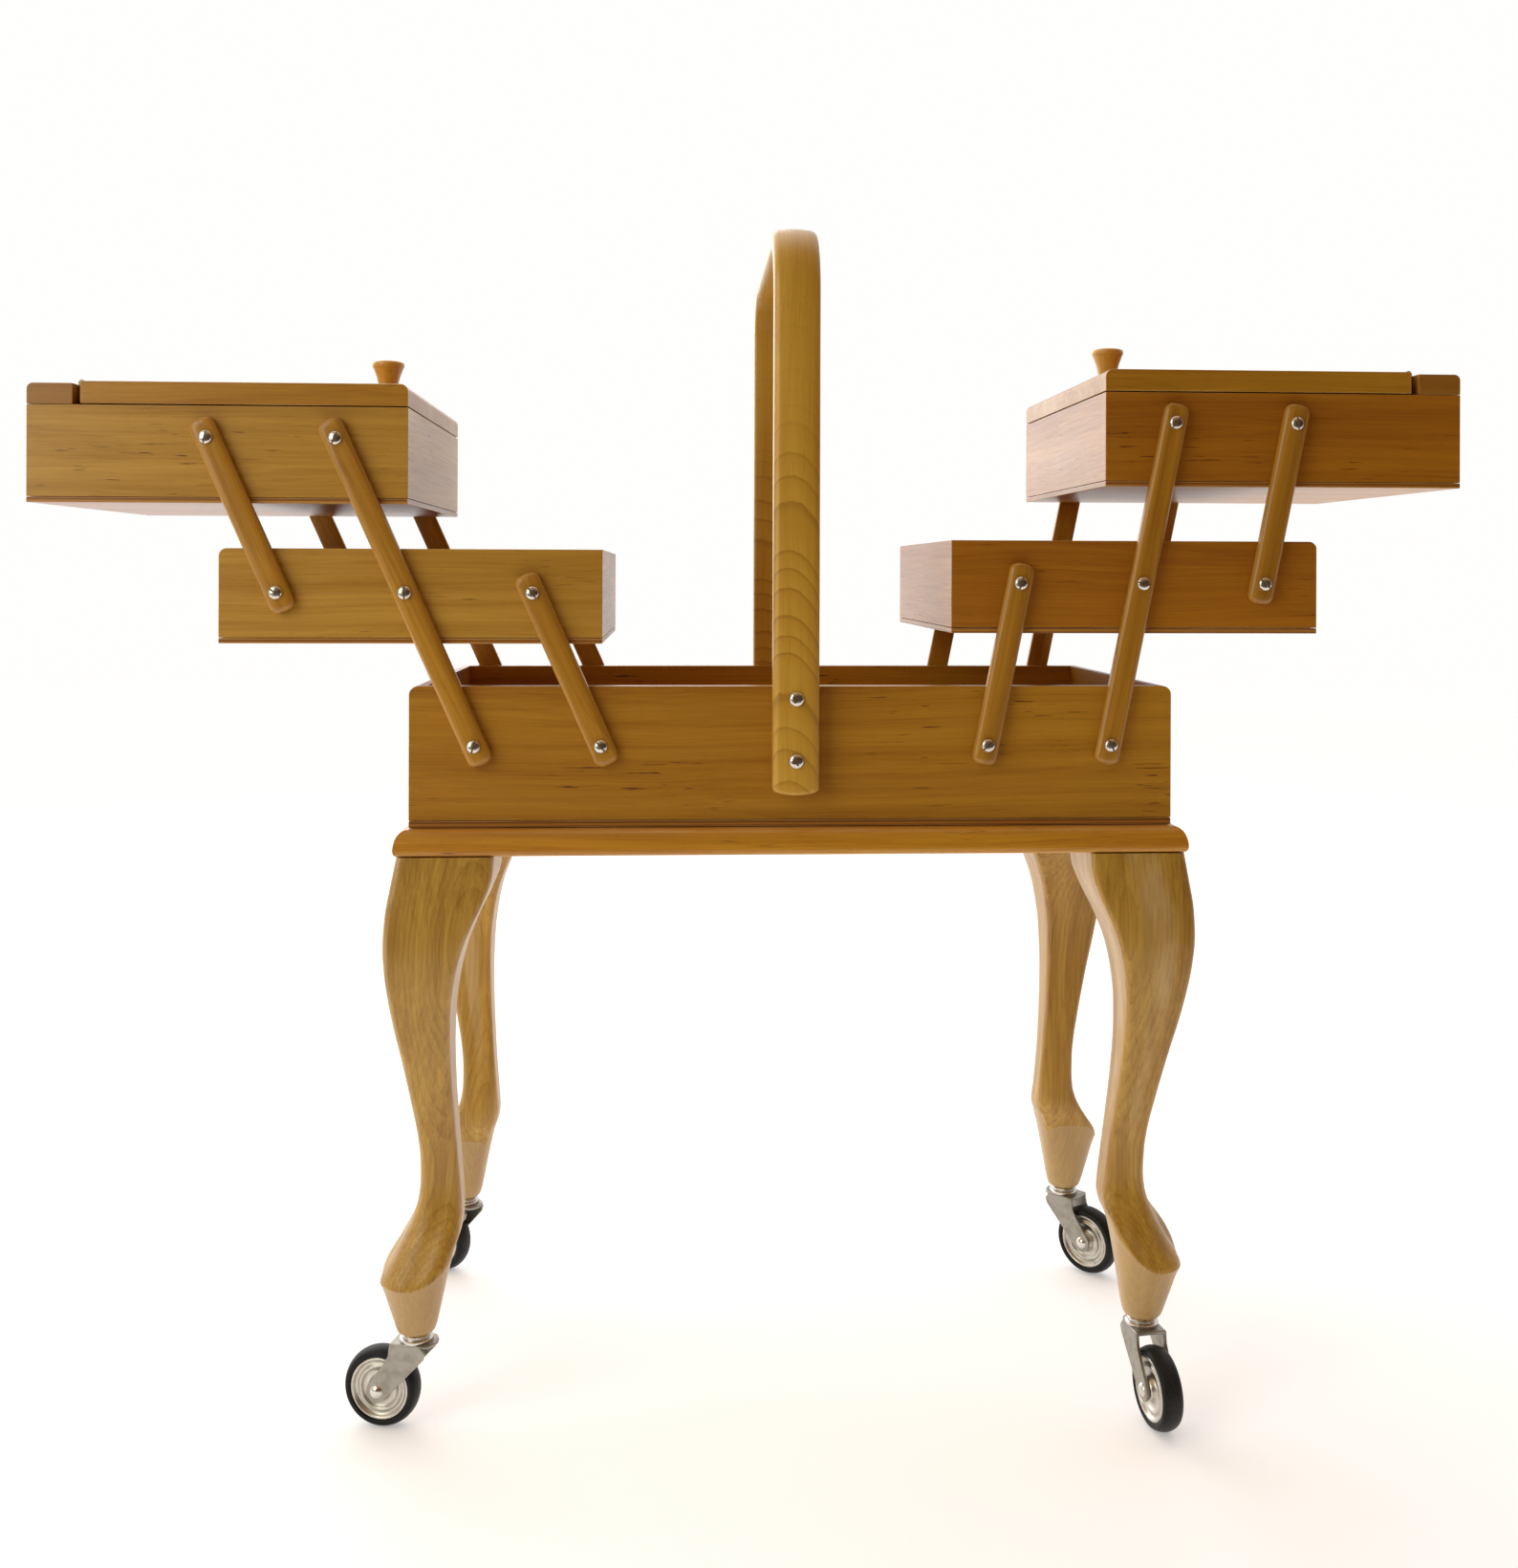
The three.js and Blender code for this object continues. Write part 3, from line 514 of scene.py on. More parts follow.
w_lo, w_hi = nbox("base_walls")
ring_of_boards("base", w_lo[0], w_hi[0], w_lo[2], w_hi[2], 9.0, 5.0, 5.0, "base", ("base_walls",))
plain_board("base_bottom_ply", f_lo[0], f_hi[0], f_lo[1], f_hi[1], f_lo[2], f_hi[2], "base", M["ply"], ("base_floor",), (0, 1, 2), 0.5)

# plinth: four mitred mouldings round a bottom panel
p_lo, p_hi = nbox("plinth")
PH = p_hi[2]
prof = smooth_profile([(7.0, PH), (5.2, PH - 0.25), (3.2, PH - 1.5), (1.5, PH - 3.8), (0.4, PH - 7.2), (0.0, 3.9), (0.25, 2.1), (0.9, 0.8), (2.3, 0.0)], 3)
BAND = 34.0


def moulding(name, long_axis, s, half_long, half_short, rep):
    # profile in (inset from the outer face, z); the strip runs along long_axis and is cut at 45 degrees
    pts = [(BAND, 0.0)] + [(a, b) for a, b in reversed(prof)] + [(BAND, PH)]
    bm = bmesh.new()
    ends = []
    for e in (-1, 1):
        loop = []
        for ins, z in pts:
            run = e * (half_long - ins - 0.04)
            off = s * (half_short - ins)
            loop.append(bm.verts.new((run, off, z) if long_axis == 0 else (off, run, z)))
        ends.append(loop)
    n = len(pts)
    for i in range(n):
        bm.faces.new((ends[0][i], ends[0][(i + 1) % n], ends[1][(i + 1) % n], ends[1][i]))
    bm.faces.new(ends[0])
    bm.faces.new(ends[1][::-1])
    bmesh.ops.recalc_face_normals(bm, faces=bm.faces)
    return finish(name, bm, "base", M["plinth"], rep, axes_grain(name, (0, 1, 2) if long_axis == 0 else (1, 0, 2)),
                  edge=lambda co: np.clip((np.abs(co[:, 2] - 13.4) < 0.9) * 0.7 + (co[:, 2] < 1.5) * 0.4, 0, 1), sharp=40)


hx, hy = p_hi[0], p_hi[1]
moulding("plinth_moulding_front", 0, -1, hx, hy, ("plinth",))
moulding("plinth_moulding_rear", 0, 1, hx, hy, ())
moulding("plinth_moulding_left", 1, -1, hy, hx, ())
moulding("plinth_moulding_right", 1, 1, hy, hx, ())
plain_board("plinth_panel", -hx + BAND + 0.1, hx - BAND - 0.1, -hy + BAND + 0.1, hy - BAND - 0.1, 0.4, PH - 0.4, "base", M["ply"], (), (0, 1, 2), 0.3)

# ---------------------------------------------------------------- links and screws
LINK_Y0, LINK_T = HD + 0.4, 6.0


def link_loop(length, inset, n=9):
    w, e, h = 7.0 - inset, 11.4 - inset, 5.6 - 0.6 * inset
    pw = 2 / 2.7
    top = []
    for i in range(2 * n + 1):
        t = math.pi * i / (2 * n)
        c, s = math.cos(t), math.sin(t)
        top.append((w * math.copysign(abs(c) ** pw, c), length + e - h + h * abs(s) ** pw))
    low = [(-u, length - v) for u, v in top]
    return top + low


def cylinder_y(x, z, r, y0, y1, n=20):
    bm = lathe([(0, y0), (r, y0), (r, y1), (0, y1)], n)
    bmesh.ops.translate(bm, verts=bm.verts, vec=(x, 0, z))
    return bm


def link_piece(name, px, pz, count, half, angle, side, body):
    length = (count - 1) * half
    ca, sa = math.cos(angle), math.sin(angle)
    turn = lambda u, v: (px + u * ca + v * sa, pz - u * sa + v * ca)
    layers = [(0.55, 0.0), (0.12, 0.22), (0.0, 0.7), (0.0, 2.9), (0.12, 3.7), (0.5, 4.5), (1.15, 5.15), (2.0, 5.6), (3.1, 5.88), (4.4, 6.0)]
    loops = []
    for inset, h in layers:
        y = side * (LINK_Y0 + h)
        loops.append([(turn(u, v)[0], y, turn(u, v)[1]) for u, v in link_loop(length, inset)])
    bm = loft(loops)
    bmesh.ops.recalc_face_normals(bm, faces=bm.faces)
    holes = join_bm(*[cylinder_y(*turn(0, i * half), 2.4, side * (LINK_Y0 - 2), side * (LINK_Y0 + LINK_T + 2)) for i in range(count)])
    bmesh.ops.recalc_face_normals(holes, faces=holes.faces)
    me = cut(bm, holes)
    off = seeded(name)
    o = (off.uniform(-2000, 2000), off.uniform(-6, 6), 26 + off.uniform(-4, 6))

    def grain(co):
        dx, dz = co[:, 0] - px, co[:, 2] - pz
        v = dx * sa + dz * ca
        u = dx * ca - dz * sa
        return np.stack([v + o[0], u + o[1] + 0.02 * v, np.abs(co[:, 1]) - LINK_Y0 + o[2]], 1)

    def edge(co):
        dx, dz = co[:, 0] - px, co[:, 2] - pz
        u = np.abs(dx * ca - dz * sa)
        h = np.abs(co[:, 1]) - LINK_Y0
        return np.clip((u - 6.1) / 0.6, 0, 1) * np.clip(1 - np.abs(h - 4.3) / 1.2, 0, 1)

    return finish(name, me, body, M["link"], (name.replace("_arm_", "_link_"),), grain, edge, sharp=50)


def slotted(angle, cross=False):
    """Dome-headed screw drawn about +Y, its seat at 0."""
    prof = [(0, -0.02), (3.55, -0.02), (3.8, 0.12), (3.8, 0.42)] + [(3.8 * math.cos(t), 0.42 + 1.75 * math.sin(t)) for t in [math.radians(a) for a in (12, 25, 38, 50, 62, 74, 84)]] + [(0, 2.17)]
    bm = lathe(prof, 40)
    if cross:
        c = join_bm(box_bm(-2.3, 2.3, 1.0, 4, -0.5, 0.5), box_bm(-0.5, 0.5, 1.0, 4, -2.3, 2.3))
        c2 = lathe([(0, 0.7), (0.5, 0.7), (1.25, 2.6), (0, 2.6)], 12)
        c = join_bm(c, c2)
    else:
        c = box_bm(-6, 6, 1.15, 4, -0.48, 0.48)
    bmesh.ops.recalc_face_normals(c, faces=c.faces)
    if cross:
        me = cut(bm, box_bm(-2.3, 2.3, 1.0, 4, -0.5, 0.5))
        t = bmesh.new()
        t.from_mesh(me)
        bpy.data.meshes.remove(me)
        c.free()
        me = cut(t, box_bm(-0.5, 0.5, 1.0, 4, -2.3, 2.3))
    else:
        me = cut(bm, c)
    me.transform(Matrix.Rotation(angle, 4, "Y"))
    return me


def screw(name, x, z, side, y, angle, body, rep=(), cross=False, shank=0.0, scale=1.0):
    me = slotted(angle, cross)
    b = bmesh.new()
    b.from_mesh(me)
    bpy.data.meshes.remove(me)
    if scale != 1.0:
        bmesh.ops.scale(b, vec=(scale, 1.0, scale), verts=b.verts)
    if shank:
        b = join_bm(b, lathe([(0, -shank), (1.9, -shank), (1.9, -0.02), (0, -0.02)], 20))
    me = to_mesh(b)
    if side < 0:
        me.transform(Matrix.Rotation(math.pi, 4, "X"))
    me.transform(Matrix.Translation((x, side * y, z)))
    return finish(name, me, body, M["nickel"], rep, axes_grain(name, (0, 1, 2)), edge=lambda co: np.zeros(len(co)), sharp=38)


def wing(tag, s):
    b1, b2, m1, m3, t1 = (jpos(f"{tag}_{k}") for k in ("fold", "lower_swing", "mid_level", "upper_swing", "top_level"))
    d = m1 - b1
    m2, t2 = b2 + d, m3 + d
    half = math.hypot(d[0], d[2])
    ang = math.atan2(d[0], d[2])
    for end, side in (("front", -1), ("rear", 1)):
        link_piece(f"{tag}_long_arm_{end}", b1[0], b1[2], 3, half, ang, side, f"{tag}_long_links")
        link_piece(f"{tag}_lower_arm_{end}", b2[0], b2[2], 2, half, ang, side, f"{tag}_lower_links")
        link_piece(f"{tag}_upper_arm_{end}", m3[0], m3[2], 2, half, ang, side, f"{tag}_upper_links")
        for i, (p, body) in enumerate([(b1, "base"), (b2, "base"), (m1, f"{tag}_mid_tray"), (m2, f"{tag}_mid_tray"), (m3, f"{tag}_mid_tray"), (t1, f"{tag}_top_tray"), (t2, f"{tag}_top_tray")]):
            r = seeded(f"{tag}{end}{i}")
            screw(f"{tag}_pivot_screw_{end}_{i + 1}", p[0], p[2], side, LINK_Y0 + LINK_T + 0.18, r.uniform(0, math.pi), body, shank=LINK_T + 0.55)

    # middle tray
    lo, hi = nbox(f"{tag}_mid_walls")
    fl, fh = nbox(f"{tag}_mid_floor")
    body = f"{tag}_mid_tray"
    ring_of_boards(f"{tag}_mid", lo[0], hi[0], lo[2], hi[2], 8.0, 4.5 if s < 0 else 0, 4.5 if s > 0 else 0, body, (f"{tag}_mid_walls",))
    plain_board(f"{tag}_mid_ply", fl[0], fh[0], fl[1], fh[1], fl[2], fh[2], body, M["ply"], (f"{tag}_mid_floor",), (0, 1, 2), 0.4)

    # top tray
    lo, hi = nbox(f"{tag}_top_walls")
    fl, fh = nbox(f"{tag}_top_floor")
    body = f"{tag}_top_tray"
    ring_of_boards(f"{tag}_top", lo[0], hi[0], lo[2], hi[2], 8.0, 0, 0, body, (f"{tag}_top_walls",))
    plain_board(f"{tag}_top_ply", fl[0], fh[0], fl[1], fh[1], fl[2], fh[2], body, M["ply"], (f"{tag}_top_floor",), (0, 1, 2), 0.4)

    # rail and lid
    lo, hi = nbox(f"{tag}_lid_rail")
    out, inn = (lo[0], hi[0]) if s < 0 else (hi[0], lo[0])
    r = 3.4
    pts = [(inn, lo[2]), (out, lo[2])] + [(out + s * (x - r), hi[2] - r + z) for x, z in arc(0, 0, r, 0, 90, 8)] + [(inn, hi[2])]
    bm = prism(pts, -HD, HD)
    bevel(bm, 0.4)
    finish(f"{tag}_rail_board", bm, body, M["rail"], (f"{tag}_lid_rail",), axes_grain(f"{tag}_rail", (0, 2, 1)), weighted=True)
    lo, hi = nbox(f"{tag}_lid")
    out, inn = (lo[0], hi[0]) if s < 0 else (hi[0], lo[0])
    r = 4.4
    pts = [(out, lo[2]), (out, hi[2])] + [(inn + s * (r + x), hi[2] - r + z) for x, z in arc(0, 0, r, 90, 180, 8)] + [(inn, lo[2])]
    bm = prism(pts, -HD, HD)
    bevel(bm, 0.45)
    finish(f"{tag}_lid_board", bm, f"{tag}_lid", M["lid"], (f"{tag}_lid",), axes_grain(f"{tag}_lidb", (0, 1, 2)), weighted=True)

    # knob
    klo, khi = nbox(f"{tag}_knob")
    kx, kz = (klo[0] + khi[0]) / 2, hi[2]
    kh = khi[2] - kz
    prof = [(0, 0.02), (6.2, 0.02), (6.7, 0.35)] + smooth_profile([(6.7, 0.6), (6.15, 2.6), (5.75, 6.5), (6.0, 10.5), (7.1, 15.5), (8.7, 20.0)], 5) \
        + smooth_profile([(9.0, 20.9), (9.6, 22.0), (9.85, 23.2), (9.55, 24.4), (8.5, 25.2), (6.2, 25.7), (3.0, 25.95)], 4) + [(0, 26.0)]
    prof = [(a, b * kh / 26.0) for a, b in prof]
    bm = lathe(prof, 48)
    bm.transform(Matrix.Translation((kx, 0, kz)) @ Matrix.Rotation(math.pi / 2, 4, "X"))
    finish(f"{tag}_knob_turned", bm, f"{tag}_lid", M["knob"], (f"{tag}_knob",), axes_grain(f"{tag}_knob", (2, 0, 1), pith=(0, 20)),
           edge=lambda co: np.clip(1 - np.abs(np.hypot(co[:, 0] - kx, co[:, 1]) - 9.7) / 0.5, 0, 1) * 0.8, sharp=45)

    # hinge: two leaves folded down in the gap, knuckles along the top
    h = jpos(f"{tag}_lid_hinge")
    ax, az = h[0], h[2]
    half_l, mid = HD - 8, 46.0
    R = 1.45

    def knuckles(spans):
        out = []
        for y0, y1 in spans:
            bm = lathe([(0.62, y0), (R - 0.15, y0), (R, y0 + 0.15), (R, y1 - 0.15), (R - 0.15, y1), (0.62, y1)], 24, closed=True)
            bmesh.ops.translate(bm, verts=bm.verts, vec=(ax, 0, az))
            out.append(bm)
        return out

    def leaf(side2, y0, y1, z0, z1, near=1.05, far=1.85):
        xa, xb = ax + side2 * near, ax + side2 * far
        bm = box_bm(min(xa, xb), max(xa, xb), y0, y1, az + z0, az + z1)
        bevel(bm, 0.12, 1)
        return bm

    pin = lathe([(0, -half_l - 0.6), (0.5, -half_l - 0.6), (0.55, -half_l + 0.2), (0.55, half_l - 0.2), (0.5, half_l + 0.6), (0, half_l + 0.6)], 16)
    bmesh.ops.translate(pin, verts=pin.verts, vec=(ax, 0, az))
    ends = [(-half_l, -mid - 0.3), (mid + 0.3, half_l)]
    rail = join_bm(leaf(s, -half_l, half_l, -10.5, -1.9), *[leaf(s, y0, y1, -2.2, 0.2, 0.75) for y0, y1 in ends], *knuckles(ends), pin)
    finish(f"{tag}_hinge_leaf_rail", rail, body, M["brass"], (f"{tag}_hinge_rail_leaf",), axes_grain(f"{tag}hr", (1, 0, 2)), edge=lambda co: np.zeros(len(co)))
    lidl = join_bm(leaf(-s, -half_l, half_l, -10.5, -1.9), leaf(-s, -mid, mid, -2.2, 0.2, 0.75), *knuckles([(-mid, mid)]))
    finish(f"{tag}_hinge_leaf_lid", lidl, f"{tag}_lid", M["brass"], (f"{tag}_hinge_lid_leaf",), axes_grain(f"{tag}hl", (1, 0, 2)), edge=lambda co: np.zeros(len(co)))


wing("left", -1)
wing("right", 1)

# ---------------------------------------------------------------- handle
h_lo, h_hi = nbox("handle")
HW, HT = (h_hi[0] - h_lo[0]) / 2, 12.0
YC, ZC, RB = h_hi[1] - HT / 2, h_hi[2] - HT / 2, 36.0
LOW = h_lo[2]


def handle_path():
    pts = []
    straight = ZC - RB - LOW
    n1 = 90
    for i in range(n1 + 1):
        pts.append((-YC, LOW + straight * i / n1, 0.0, 1.0))
    n2 = 22
    for i in range(1, n2 + 1):
        a = math.pi - (math.pi / 2) * i / n2
        pts.append((-YC + RB + RB * math.cos(a), ZC - RB + RB * math.sin(a), math.sin(a), -math.cos(a)))
    n3 = 24
    flat = 2 * (YC - RB)
    for i in range(1, n3):
        pts.append((-YC + RB + flat * i / n3, ZC, 1.0, 0.0))
    right = [(-y, z, ty, -tz) for y, z, ty, tz in pts[: n1 + n2 + 1]][::-1]
    return pts + right


def handle_piece():
    # section: (across, outward) with a crowned outer face and eased arrises
    hw, ht = HW, HT / 2
    sec = []
    for x, o in [(-hw, -ht + 1.6), (-hw, ht - 4.0)]:
        sec.append((x, o))
    for i in range(1, 9):
        t = i / 9
        a = math.pi - (math.pi / 2) * t
        sec.append((-hw + 5.2 + 5.2 * math.cos(a), ht - 4.0 + 3.4 * math.sin(a)))
    for i in range(0, 13):
        x = (-hw + 5.2) + (2 * hw - 10.4) * i / 12
        sec.append((x, ht - 0.6 + 0.6 * (1 - (x / (hw - 5.2)) ** 2)))
    for i in range(1, 9):
        t = i / 9
        a = math.pi / 2 - (math.pi / 2) * t
        sec.append((hw - 5.2 + 5.2 * math.cos(a), ht - 4.0 + 3.4 * math.sin(a)))
    for x, o in [(hw, ht - 4.0), (hw, -ht + 1.6), (hw - 0.5, -ht + 0.5), (hw - 1.6, -ht), (hw - 6, -ht), (0, -ht), (-hw + 6, -ht), (-hw + 1.6, -ht), (-hw + 0.5, -ht + 0.5)]:
        sec.append((x, o))
    path = handle_path()
    loops, svals = [], []
    total = 0.0
    prev = None
    for k, (y, z, ty, tz) in enumerate(path):
        if prev is not None:
            total += math.hypot(y - prev[0], z - prev[1])
        prev = (y, z)
        loops.append([(x, y - tz * o, z + ty * o) for x, o in sec])
        svals.append(total)
    L = total
    # rounded ends: shrink the first and last rings and bow them
    def end_ring(y, inset, dz, tz):
        out = []
        for x, o in sec:
            fx = x * (1 - inset / hw)
            fo = o * (1 - inset / ht)
            out.append((fx, y - tz * fo, LOW + dz + 1.9 * (fx / hw) ** 2))
        return out
    y0 = -YC
    first = [end_ring(y0, 1.3, 0.0, 1.0), end_ring(y0, 0.55, 0.35, 1.0), end_ring(y0, 0.12, 1.1, 1.0), end_ring(y0, 0.0, 2.2, 1.0)]
    y1 = YC
    last = [end_ring(y1, 0.0, 2.2, -1.0), end_ring(y1, 0.12, 1.1, -1.0), end_ring(y1, 0.55, 0.35, -1.0), end_ring(y1, 1.3, 0.0, -1.0)]
    keep = [i for i, sv in enumerate(svals) if 4.6 < sv < L - 4.6]
    all_loops = first + [loops[i] for i in keep] + last
    sv = [0.0, 0.35, 1.1, 2.2] + [svals[i] for i in keep] + [L - 2.2, L - 1.1, L - 0.35, L]
    bm = loft(all_loops)
    n = len(sec)
    s_of = np.repeat(np.array(sv), n)
    x_of = np.tile(np.array([a for a, _ in sec]), len(all_loops))
    o_of = np.tile(np.array([b for _, b in sec]), len(all_loops))

    def grain(co):
        return np.stack([s_of + 731.0, x_of + 0.9 * np.sin(s_of / 90.0), o_of + 31.0], 1)

    def phase(co):
        # stacked arches on the flat-sawn outer face, leaning to one side
        out = []
        for s, x, o in zip(s_of, x_of, o_of):
            b = x + 7.0 + 2.0 * math.sin(s / 47.0)
            drop = 13.0 * (max(b, 0) / 20.0) ** 2.2 + 1.8 * (max(-b, 0) / 6.0) ** 2
            h = (s if s < L / 2 else L - s) + drop + (6 - o) * 1.4
            out.append(h / 14.5 + 0.40 * math.sin(h / 17.0) + 0.24 * math.sin(h / 7.3 + 1.0))
        return np.array(out)

    def amp(co):
        z = np.where(s_of < L / 2, s_of, L - s_of)
        return np.clip(1.0 - np.clip((z - 165) / 60.0, 0, 1.0), 0.10, 1.0) * np.where(z < 40, 0.75, 1.0)

    def edge(co):
        return np.clip(1 - np.abs(np.abs(x_of) - HW) / 0.5, 0, 1) * np.clip(1 - np.abs(o_of - 2.5) / 1.5, 0, 1) * 0.6

    return finish("handle_bow", bm, "base", M["handle"], ("handle",), grain, edge, sharp=50, attrs={"figure": ("POINT", phase), "figure_amp": ("POINT", amp)})


handle_piece()
for end, side in (("front", -1), ("rear", 1)):
    for i, lvl in enumerate(("lower", "upper")):
        lo, hi = nbox(f"handle_screw_{end}_{lvl}")
        x, z = (lo[0] + hi[0]) / 2, (lo[2] + hi[2]) / 2
        screw(f"handle_screw_head_{end}_{lvl}", x, z, side, h_hi[1] + 0.05, 0.35 + 0.7 * i + (0.4 if side > 0 else 0), "base", (f"handle_screw_{end}_{lvl}",), cross=True, shank=4.0, scale=1.08)

# ---------------------------------------------------------------- legs
LEG_OUT = [(0, 220.5), (-16, 223), (-32, 225.3), (-48, 226), (-64, 224.9), (-80, 222.6), (-96, 219.6), (-112, 216.1), (-128, 212.8), (-144, 209.7), (-160, 206.8),
           (-172, 205.5), (-184, 205.3), (-194, 206.2), (-204, 209), (-212, 212.8), (-221, 217.8), (-229, 222.8), (-233, 224.7), (-235, 225.0), (-236.2, 224.4), (-250, 220), (-266, 215.2)]
LEG_IN = [(0, 166.8), (-12, 167.6), (-24, 171.4), (-40, 178.5), (-56, 184), (-72, 187), (-88, 188.5), (-104, 188.7), (-128, 187.8), (-152, 186), (-176, 183.9),
          (-192, 182.3), (-208, 181.4), (-219, 182), (-229, 184.4), (-240, 187.2), (-252, 190.7), (-266, 194.3)]


def pchip(rows, z, corner=None):
    """Monotone cubic through rows of falling z; a corner height keeps its kink."""
    zs = [-a for a, _ in rows]
    ys = [b for _, b in rows]
    t = -z
    n = len(zs)
    t = min(max(t, zs[0]), zs[-1])
    i = max(j for j in range(n - 1) if zs[j] <= t)
    h = [zs[j + 1] - zs[j] for j in range(n - 1)]
    dl = [(ys[j + 1] - ys[j]) / h[j] for j in range(n - 1)]

    def slope(j, right):
        if j == 0:
            return dl[0]
        if j == n - 1:
            return dl[-1]
        if corner is not None and abs(zs[j] + corner) < 1e-6:
            return dl[j] if right else dl[j - 1]
        if dl[j - 1] * dl[j] <= 0:
            return 0.0
        w1, w2 = 2 * h[j] + h[j - 1], h[j] + 2 * h[j - 1]
        return (w1 + w2) / (w1 / dl[j - 1] + w2 / dl[j])

    m0, m1 = slope(i, True), slope(i + 1, False)
    u = (t - zs[i]) / h[i]
    return ((1 + 2 * u) * (1 - u) ** 2 * ys[i] + u * (1 - u) ** 2 * h[i] * m0 + u * u * (3 - 2 * u) * ys[i + 1] + u * u * (u - 1) * h[i] * m1)


SEAM = -235.0
SEAMS = {"fl": (-2.0, 9.0), "fr": (-0.5, 19.0), "rl": (-1.0, 11.0), "rr": (-0.5, 15.0)}


def leg_piece(tag, sx, sy):
    foot = jpos(f"caster_{tag}_turn")
    lo, hi = nbox(f"leg_{tag}")
    lean = (foot[0] - sx * 204.75) / 266.0
    shift = 204.75 - abs(foot[1])
    mid_drop, in_rise = SEAMS[tag]
    zs = list(np.linspace(-0.3, -8, 4)) + list(np.arange(-12, -222, -4.0)) + [-223, -226, -228.6, -230.8, -232.6, -234, SEAM, -235.7, -236.6, -238.6, -241.5, -245, -249, -254, -258.5, -262, -264.6, -265.6, -266]
    loops, hoofs = [], []
    nc = 7
    for z in zs:
        o, i = pchip(LEG_OUT, z, SEAM), pchip(LEG_IN, z)
        w = o - i
        below = min(max((SEAM - z) / 31.0, 0), 1)
        foot_up = min(max((-166 - z) / 62.0, 0), 1)
        foot_up = foot_up * foot_up * (3 - 2 * foot_up)
        r_in = min(3.4, 0.16 * w) * (1 - foot_up) + 0.36 * w * foot_up
        r_out = min(4.6, 0.20 * w) * (1 - foot_up) + 0.44 * w * foot_up
        # rounder block under the seam
        rr = [r_in + (0.47 * w - r_in) * below, r_in + (0.47 * w - r_in) * below, r_out + (0.47 * w - r_out) * below, r_in + (0.47 * w - r_in) * below]
        ins = 0.0
        if z < -264:
            ins = {-264.6: 0.15, -265.6: 0.5, -266: 1.1}.get(round(z, 1), 0.0)
        a, b = i + ins, o - ins
        corners = [(a, a, 180, rr[0]), (b, a, 270, rr[1]), (b, b, 0, rr[2]), (a, b, 90, rr[3])]
        loop = []
        for k, (cx, cy, a0, r) in enumerate(corners):
            ox = cx + (r if cx == a else -r)
            oy = cy + (r if cy == a else -r)
            for q in range(nc):
                t = math.radians(a0 + 90 * q / (nc - 1))
                loop.append((ox + r * math.cos(t), oy + r * math.sin(t)))
            nx = corners[(k + 1) % 4]
            e0 = loop[-1]
            ox2 = nx[0] + (nx[3] if nx[0] == a else -nx[3])
            oy2 = nx[1] + (nx[3] if nx[1] == a else -nx[3])
            t2 = math.radians(nx[2])
            e1 = (ox2 + nx[3] * math.cos(t2), oy2 + nx[3] * math.sin(t2))
            for q in range(1, 7):
                f = q / 7
                loop.append((e0[0] + (e1[0] - e0[0]) * f, e0[1] + (e1[1] - e0[1]) * f))
        if z > SEAM:
            wgt = min(max((-188 - z) / 47.0, 0), 1)
        else:
            wgt = 1 - min(max((SEAM - z) / 29.0, 0), 1)
        wgt = wgt * wgt * (3 - 2 * wgt)
        ring = []
        for x, y in loop:
            u = min(max(max((o - x) / w, (o - y) / w), 0), 1)
            k = min(max((u - 0.42) / 0.58, 0), 1)
            sag = 4 * mid_drop * u * (1 - u) + in_rise * k ** 1.6
            zz = z + wgt * sag
            ring.append((sx * x + lean * -z, sy * (y - shift), zz))
        loops.append(ring)
    if sx * sy < 0:
        loops = [list(reversed(r)) for r in loops]
    bm = loft(loops)
    bm.verts.ensure_lookup_table()
    seam_k = zs.index(SEAM)
    n = len(loops[0])
    for f in bm.faces:
        ks = [v.index for v in f.verts]
    bm.verts.index_update()
    hoof_face = []
    for f in bm.faces:
        hoof_face.append(1.0 if min(v.index for v in f.verts) >= seam_k * n else 0.0)
    r = seeded("leg" + tag)
    tilt = {"fl": 3.5, "fr": -1.0, "rl": 2.0, "rr": -2.5}[tag]
    off = (r.uniform(-900, 900), r.uniform(6, 26), 38 + r.uniform(-6, 10))
    ta = math.radians(tilt)

    def grain(co):
        x = (co[:, 0] - sx * 200.0) * sx
        y = co[:, 1] - sy * 95.0
        z = co[:, 2]
        a = z * math.cos(ta) - x * math.sin(ta)
        b = z * math.sin(ta) + x * math.cos(ta)
        return np.stack([a + off[0], b + off[1], y + off[2]], 1)

    # marks the middle of each rounded corner, fading out towards the foot: the wood shader paints these corners paler,
    # a painted highlight broken up by noise
    def edge(co):
        ids = np.arange(len(co)) % n
        return np.isin(ids % (nc + 6), range(2, nc - 2)) * 0.5 * np.clip((co[:, 2] + 175) / 50, 0, 1)

    attrs = {"hoof": ("FACE", lambda ce: np.array(hoof_face))}
    return finish(f"leg_{tag}_cabriole", bm, "base", M["leg"], (f"leg_{tag}",), grain, edge, sharp=38, attrs=attrs)


